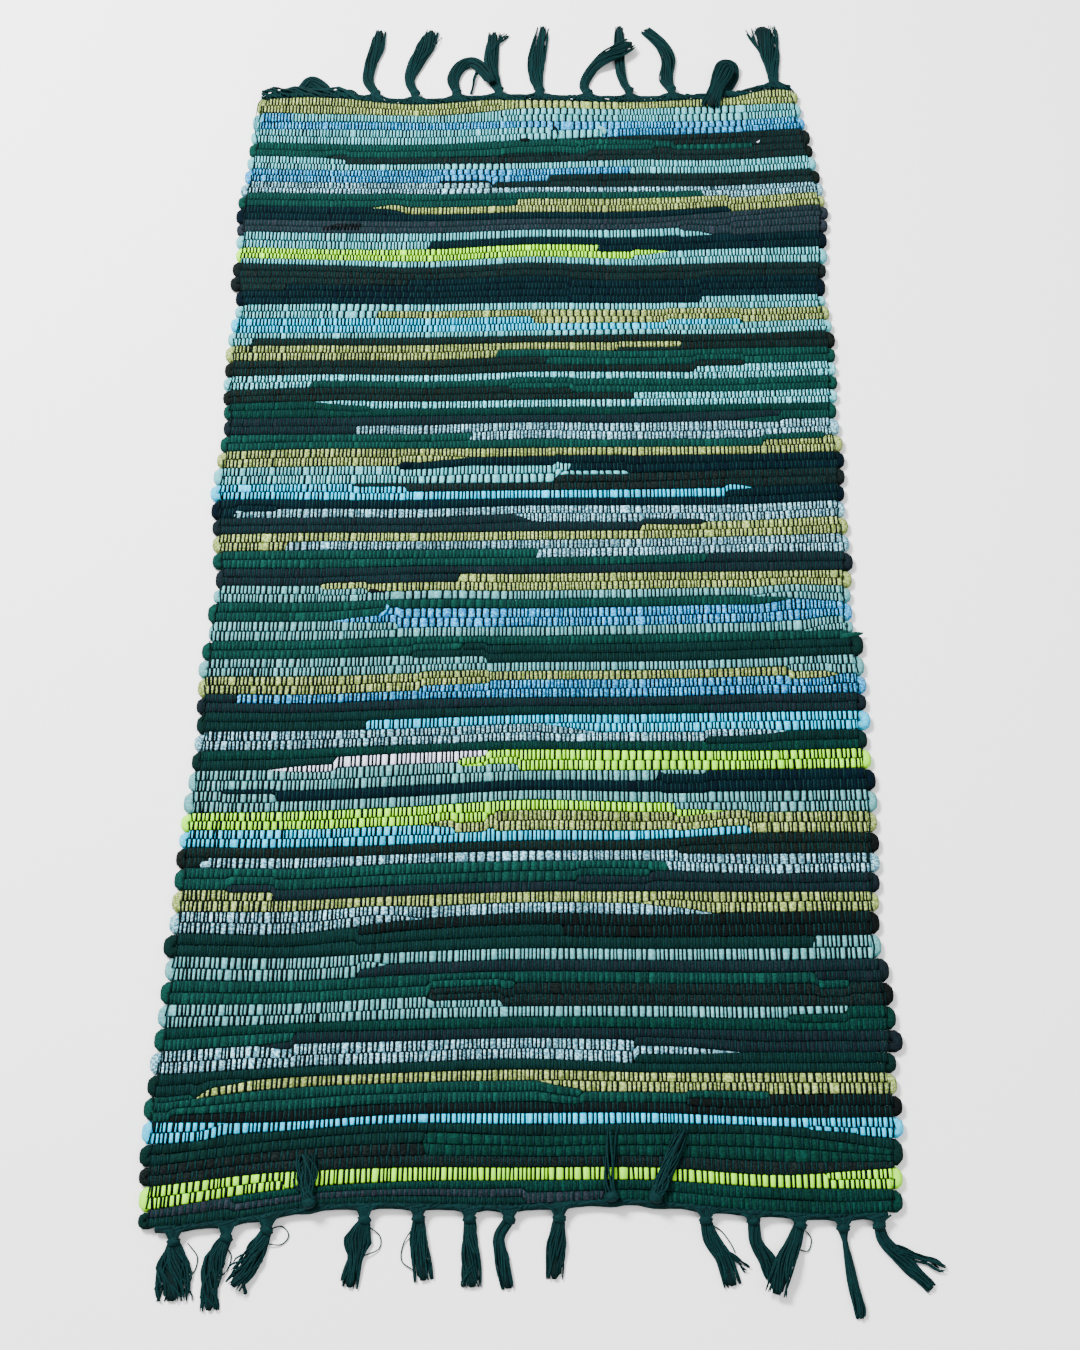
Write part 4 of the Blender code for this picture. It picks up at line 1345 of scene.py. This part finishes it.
# %% Split tails and stray threads
# Each split starts within its tail: its points with widths, and its number of threads.
SPLITS = {
    "far": (
        (((-44, 668, 0), (-37, 682, 5, 0), (-28, 694, 9, 0)), 4.0, 6),
        (((3, 610, 0), (-3, 635, 3, 0), (-4, 660, 3, 0), (4, 693, 3, 0)), 3.0, 3),
        (((-60, 640, 0), (-64, 622, 3, 0), (-66, 604, 3, 0)), 4.0, 3),
    ),
    "near": (
        (((150, -616, 0), (163, -624, 5, 0), (172, -632, 7, 0)), 5.0, 5),
        (((284, -616, 0), (297, -621, 9, 0), (311, -626, 7, 0), (323, -632, 8, 0)), 8.0, 10),
        (((-218, -632, 0), (-216, -642, 3, 0), (-214, -650, 3, 0)), 4.0, 3),
        (((-39, -628, 0), (-45, -637, 4, 0), (-47, -645, 4, 0)), 4.0, 4),
    ),
}
STRAYS = {
    "far": (
        ((-120, 660, 4), (-108, 676, 4), (-101, 692, 1)),
        ((-125, 650, 5), (-112, 668, 4), (-106, 684, 1)),
        ((-172, 590, 6), (-158, 599, 2), (-144, 596, 1), (-138, 588, 5)),
        ((-120, 588, 6), (-108, 596, 1), (-98, 592, 1), (-92, 588, 5)),
        ((78, 588, 6), (88, 592, 2), (98, 589, 5)),
        ((-290, 598, 8), (-296, 588, 9.4), (-298, 568, 9.4), (-298, 552, 9.4), (-296, 538, 6)),
    ),
    "near": (
        ((-201, -603, 5), (-190, -599, 1), (-184, -606, 1), (-190, -613, 1), (-204, -612, 4)),
        ((-123, -599, 5), (-113, -606, 1), (-113, -616, 1), (-125, -622, 3)),
        ((-85, -598, 5), (-94, -612, 1), (-95, -625, 1), (-86, -632, 3)),
        ((141, -597, 5), (152, -602, 1), (159, -611, 1), (163, -619, 0.7)),
        ((-262, -612, 4), (-254, -622, 1), (-256, -634, 1), (-264, -640, 4)),
        ((-236, -612, 4), (-228, -620, 1), (-230, -632, 1), (-238, -640, 4)),
        ((214, -600, 5), (222, -608, 1), (219, -618, 1), (209, -616, 4)),
    ),
}
STRAY_RADIUS, STRAY_STEPS, STRAY_TONE = 0.55, 5, 0.6
print("splits:", sum(map(len, SPLITS.values())), "strays:", sum(map(len, STRAYS.values())))

# %% Both fringes
# Between which x the threads of each heading are gathered, and the seeds of the fringes.
GATHER_FROM, GATHER_TO = -288.0, 286.0
HEADING_SEED, TASSEL_SEEDS, SPLIT_SEED = 900, 500, 2000

FRINGES = (("far", 1, FAR_TASSELS, lines[0]), ("near", -1, NEAR_TASSELS, lines[-1]))
for end, side, tassels, edge in FRINGES:
    tails = heap(f"tassels_{end}")
    heading = heap(f"heading_{end}")
    knots_x = [tassel[0][0] for tassel in tassels]
    between = [(a + b) / 2 for a, b in zip(knots_x, knots_x[1:])]
    limits = [GATHER_FROM, *between, GATHER_TO]
    heading_roll(heading, edge, side, knots_x, random.Random(HEADING_SEED + side))
    for i, (knot, *tail) in enumerate(tassels):
        luck = random.Random(TASSEL_SEEDS * side + i)
        out = KNOT_OUT[end] if knot[2] == 0 else 0.0
        knot = (knot[0], knot[1] + side * out, knot[2])
        ahead = Vector((tail[0][0] - knot[0], tail[0][1] - knot[1], 0.0)).normalized()
        knot_body(heading, knot, ahead, luck)
        if knot[2] == 0:
            knot_fan(heading, edge, side, knot, luck)
        gathered(heading, edge, side, limits[i], limits[i + 1], knot, luck)
        route, widths = tail_route(knot, tail, TAIL_START_WIDE, TAIL_FULLNESS[end])
        manner = "loose" if i in LOOSE_TAILS[end] else "neat"
        count = int(THREADS_PER_MM * float(np.mean(widths))) + EXTRA_THREADS[manner]
        if i in SPARSE_TAILS[end]:
            count = SPARSE_TAILS[end][i]
        else:
            tail_core(tails, route, widths * CORE_WIDTH[manner], luck)
        tail_threads(tails, route, widths, count, luck, LOOSENESS[manner])
    for (start, *tail), start_wide, count in SPLITS[end]:
        luck = random.Random(int(start[0]) + SPLIT_SEED)
        tail_threads(tails, *tail_route(start, tail, start_wide), count, luck, 1.0)
    for stray in STRAYS[end]:
        route = curve_through(stray, STRAY_STEPS)
        tube(tails, route, [STRAY_RADIUS] * len(route), THREAD_SIDES, STRAY_TONE)
print({name: heap(name).count for name in heaps if "tassels" in name or "heading" in name})

# %% [markdown]
# ## The jersey finish
#
# Rolled jersey has a matt, slightly furry surface with fine ribs. Many of the strips are
# heather: their colour is speckled with a lighter or darker one. The strips differ a little
# in tone from row to row. A picture of cloth could be laid over them, but noise in Blender's
# own nodes needs no file and never repeats. All colours share one node group, which makes the
# speckle, the tone, the painted shade and the fine relief. Each material gives it its own values.

# %% Helpers for nodes
def node(tree, kind, **values):
    """One node, with its properties set."""
    made = tree.nodes.new(kind)
    for name, value in values.items():
        setattr(made, name, value)
    return made


def feed(tree, made, inputs):
    """Gives a node's inputs, by name or number, a value each or a link from a socket."""
    for key, value in inputs.items():
        if isinstance(value, bpy.types.NodeSocket):
            tree.links.new(value, made.inputs[key])
        else:
            made.inputs[key].default_value = value


def reckon(tree, operation, *values, clamp=False):
    """The result of a Math node on sockets or numbers."""
    made = node(tree, "ShaderNodeMath", operation=operation, use_clamp=clamp)
    feed(tree, made, dict(enumerate(values)))
    return made.outputs[0]


print("helpers for nodes are ready")

# %% Colour mixes and noises
# The numbers of a Mix node's sockets for colours.
MIX_SHARE, MIX_FIRST, MIX_SECOND, MIX_RESULT = 0, 6, 7, 2
NOISE_DETAIL = 2.0


def mix_colours(tree, share, first, second):
    """The mix of two colours. Its share and colours are sockets or values."""
    made = node(tree, "ShaderNodeMix", data_type="RGBA", blend_type="MIX")
    feed(tree, made, {MIX_SHARE: share, MIX_FIRST: first, MIX_SECOND: second})
    return made.outputs[MIX_RESULT]


def stretched_noise(tree, along, across):
    """A noise on the object's own coordinates, with its grain along the strips."""
    place = node(tree, "ShaderNodeTexCoord")
    mapping = node(tree, "ShaderNodeMapping")
    feed(tree, mapping, {"Vector": place.outputs["Object"], "Scale": (along, across, across)})
    noise = node(tree, "ShaderNodeTexNoise")
    feed(tree, noise, {"Vector": mapping.outputs["Vector"], "Scale": 1.0, "Detail": NOISE_DETAIL})
    return noise.outputs["Fac"]


def ramp(tree, value, low, high):
    """A value spread from 0 to 1 between two limits."""
    made = node(tree, "ShaderNodeMapRange", interpolation_type="SMOOTHSTEP")
    feed(tree, made, {"Value": value, "From Min": low, "From Max": high})
    return made.outputs["Result"]


print("the noises take", NOISE_DETAIL, "octaves")

# %% The jersey group
# The group darkens the colour by each point's painted shade, as far as its depth input says.
JERSEY_INPUTS = (
    ("Cloth", "NodeSocketColor", (0.5, 0.5, 0.5, 1.0)),
    ("Fleck", "NodeSocketColor", (0.8, 0.8, 0.8, 1.0)),
    ("Fleck Amount", "NodeSocketFloat", 0.3),
    ("Tone", "NodeSocketFloat", 0.5),
    ("Tone Spread", "NodeSocketFloat", 0.25),
    ("Painted Shade Mask", "NodeSocketFloat", 0.0),
    ("Painted Shade Depth", "NodeSocketFloat", 0.8),
)
JERSEY_OUTPUTS = (("Colour", "NodeSocketColor"), ("Relief", "NodeSocketFloat"))
# Grains in a metre, along and across the strips, and the limits between which flecks show.
FLECK_GRAIN, FLECK_LIMITS = (480.0, 560.0), (0.42, 0.60)
RELIEF_GRAIN = (900.0, 2600.0)
MIDDLE_TONE = 0.5


def jersey_group():
    """Speckle, tone, painted shade and fine relief of rolled jersey."""
    tree = bpy.data.node_groups.new("rolled_jersey", "ShaderNodeTree")
    for name, kind, value in JERSEY_INPUTS:
        made = tree.interface.new_socket(name, in_out="INPUT", socket_type=kind)
        made.default_value = value
    for name, kind in JERSEY_OUTPUTS:
        tree.interface.new_socket(name, in_out="OUTPUT", socket_type=kind)
    given = node(tree, "NodeGroupInput").outputs
    flecks = ramp(tree, stretched_noise(tree, *FLECK_GRAIN), *FLECK_LIMITS)
    share = reckon(tree, "MULTIPLY", flecks, given["Fleck Amount"])
    speckled = mix_colours(tree, share, given["Cloth"], given["Fleck"])
    change = reckon(tree, "SUBTRACT", given["Tone"], MIDDLE_TONE)
    bright = reckon(tree, "MULTIPLY_ADD", change, given["Tone Spread"], 1.0)
    # Painted shade: where a point carries it, its colour is darkened.
    depth = reckon(tree, "MULTIPLY", given["Painted Shade Mask"], given["Painted Shade Depth"])
    open_share = reckon(tree, "SUBTRACT", 1.0, depth, clamp=True)
    shade = reckon(tree, "MULTIPLY", bright, open_share)
    toned = node(tree, "ShaderNodeVectorMath", operation="SCALE")
    feed(tree, toned, {0: speckled, "Scale": shade})
    relief = stretched_noise(tree, *RELIEF_GRAIN)
    result = node(tree, "NodeGroupOutput")
    feed(tree, result, {"Colour": toned.outputs[0], "Relief": relief})
    return tree


JERSEY = jersey_group()
print("nodes in the jersey group:", len(JERSEY.nodes))

# %% [markdown]
# ### The colours of the rags
#
# The rags are old clothes, in eighteen colours that come back all over the rug. Each colour is
# the cloth, its fleck, how much of the fleck shows and how much the tone changes along the
# rug. One material could take its colour from an attribute, but a material for each keeps the
# colours easy to change one by one. The shades were set, and corrected until a few
# strips of each came out as bright and as tinted, on average, as in the picture.

# %% Rag colours
def linear(hex_colour):
    """A colour written as on screen, as the linear values that shaders take."""
    parts = [int(hex_colour[i : i + 2], 16) / 255 for i in (0, 2, 4)]
    return (*((c / 12.92 if c <= 0.04045 else ((c + 0.055) / 1.055) ** 2.4) for c in parts), 1.0)


# Name: cloth, fleck, fleck amount, tone spread.
RAGS = {
    "olive": ("667A34", "BCCE84", 0.70, 0.50),
    "aqua": ("45A6AF", "84D1D8", 0.50, 0.40),
    "greyaqua": ("468D91", "82C0C3", 0.50, 0.35),
    "paleaqua": ("2E96A0", "9AF6FF", 0.70, 0.45),
    "ice": ("3A6F82", "9EDAE8", 0.95, 0.75),
    "cornflower": ("0268AC", "50C2E8", 0.75, 0.60),
    "sky": ("00ABDC", "00ECFF", 0.45, 0.40),
    "lavender": ("D6DAF2", "F0F4FA", 0.40, 0.30),
    "lime": ("9AFF00", "C4FF00", 0.40, 0.30),
    "emerald": ("052F28", "08483F", 0.50, 0.50),
    "pine": ("01241D", "023B32", 0.50, 0.50),
    "bottle": ("031B18", "052B27", 0.40, 0.50),
    "blackgreen": ("070E0C", "1D2721", 0.35, 0.50),
    "charcoal": ("070F0F", "1F2A28", 0.35, 0.50),
    "black": ("040808", "131918", 0.35, 0.50),
    "navy": ("000912", "001924", 0.40, 0.50),
    "slate": ("191F26", "2D3842", 0.45, 0.40),
    "darkslate": ("0B1419", "16252C", 0.40, 0.40),
}
print("shades:", len(RAGS))

# %% Materials
JERSEY_ROUGHNESS, COTTON_ROUGHNESS = 0.88, 0.72
SHINE = 0.05
RELIEF_STRENGTH, RELIEF_DEPTH = 0.5, 0.0006


def rag_material(name, cloth, fleck, amount, spread, roughness=JERSEY_ROUGHNESS):
    """One colour of cloth or thread."""
    material = bpy.data.materials.new(f"jersey_{name}")
    material.use_nodes = True
    tree = material.node_tree
    jersey = node(tree, "ShaderNodeGroup", node_tree=JERSEY)
    feed(tree, jersey, {
        "Cloth": linear(cloth),
        "Fleck": linear(fleck),
        "Fleck Amount": amount,
        "Tone": node(tree, "ShaderNodeAttribute", attribute_name="tone").outputs["Fac"],
        "Tone Spread": spread,
        # Each point's painted shade, from its attribute.
        "Painted Shade Mask": node(tree, "ShaderNodeAttribute", attribute_name="painted_shade").outputs["Fac"],
    })
    bump = node(tree, "ShaderNodeBump")
    relief = jersey.outputs["Relief"]
    feed(tree, bump, {"Strength": RELIEF_STRENGTH, "Distance": RELIEF_DEPTH, "Height": relief})
    feed(tree, tree.nodes["Principled BSDF"], {
        "Base Color": jersey.outputs["Colour"],
        "Normal": bump.outputs["Normal"],
        "Roughness": roughness,
        "Specular IOR Level": SHINE,
    })
    return material


rag_materials = {name: rag_material(name, *values) for name, values in RAGS.items()}
print("rag colours:", len(rag_materials))

# %% [markdown]
# ### The warp's cotton
#
# The warp is a thin hard cotton thread in one dark green. A finish of its own could show its
# twist, but it is too thin for that to be seen. So it takes the jersey's material in values of
# its own: less fleck, more change from thread to thread, and a smoother surface. That large
# change of tone also carries the light and shade painted on the crossings and the tail cores.

# %% The warp's cotton
WARP = ("041C1D", "053436", 0.25, 1.5)
cotton = rag_material("warp_cotton", *WARP, COTTON_ROUGHNESS)
print("cotton:", cotton.name)

# %% [markdown]
# ## Pieces
#
# A rug has nothing that moves, so every heap becomes one piece that rides on its only body.
# Each strip could be a piece, but two hundred would be a burden, so all of one colour are one.
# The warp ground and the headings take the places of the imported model's cloth and fringes.

# %% The pieces
rag_pieces = [
    piece_from(f"strips_{name}", heaps[name], rag_materials[name]) for name in RAGS
]
warp_pieces = {
    name: piece_from(name, heaps[name], cotton)
    for name in heaps
    if name not in RAGS
}
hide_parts("woven_body")
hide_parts("fringe_far")
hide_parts("fringe_near")
print("pieces:", len(rag_pieces) + len(warp_pieces))

# %% Counting triangles
triangles = 0
for piece in [*rag_pieces, *warp_pieces.values()]:
    sides = np.zeros(len(piece.data.polygons), np.int32)
    piece.data.polygons.foreach_get("loop_total", sides)
    count = int((sides - 2).sum())
    triangles += count
    print(piece.name, count)
print("triangles in all:", triangles)

# %% [markdown]
# ## Floor and light
#
# The rug lies on a plain pale floor. A sky picture could light it, but lamps are easier to
# steer: one large soft lamp high over the far left gives the ribs their shape, a second one
# fills in from the right, and an even white world lights the rest.

# %% The floor
FLOOR_HALF = 6.0
FLOOR_COLOUR, FLOOR_ROUGHNESS = (0.93, 0.93, 0.93, 1.0), 0.9

corners = ((-1, -1), (1, -1), (1, 1), (-1, 1))
floor_mesh = bpy.data.meshes.new("floor")
floor_mesh.from_pydata(
    [(x * FLOOR_HALF, y * FLOOR_HALF, 0.0) for x, y in corners], [], [(0, 1, 2, 3)]
)
floor = bpy.data.objects.new("floor", floor_mesh)
bpy.context.scene.collection.objects.link(floor)
floor_material = bpy.data.materials.new("floor_paper")
floor_material.use_nodes = True
floor_shader = floor_material.node_tree.nodes["Principled BSDF"]
floor_shader.inputs["Base Color"].default_value = FLOOR_COLOUR
floor_shader.inputs["Roughness"].default_value = FLOOR_ROUGHNESS
floor_mesh.materials.append(floor_material)
print("the floor is", 2 * FLOOR_HALF, "m wide")

# %% Lights
# Name: place, size in metres and watts.
LAMPS = {
    "key": ((-1.5, 1.1, 2.3), 0.9, 300.0),
    "fill": ((1.6, -1.0, 2.2), 2.0, 37.0),
}
WORLD_COLOUR, WORLD_STRENGTH = (1.0, 1.0, 1.0, 1.0), 1.0


def soft_lamp(name, place, size, watts):
    """A large square lamp that faces the middle of the rug."""
    data = bpy.data.lights.new(name, "AREA")
    data.energy = watts
    data.size = size
    lamp = bpy.data.objects.new(name, data)
    lamp.location = place
    lamp.rotation_euler = (-Vector(place)).to_track_quat("-Z", "Y").to_euler()
    bpy.context.scene.collection.objects.link(lamp)


for name, values in LAMPS.items():
    soft_lamp(name, *values)
world = bpy.data.worlds.new("studio")
world.use_nodes = True
background = world.node_tree.nodes["Background"]
background.inputs["Color"].default_value = WORLD_COLOUR
background.inputs["Strength"].default_value = WORLD_STRENGTH
bpy.context.scene.world = world
print("lamps:", len(LAMPS))
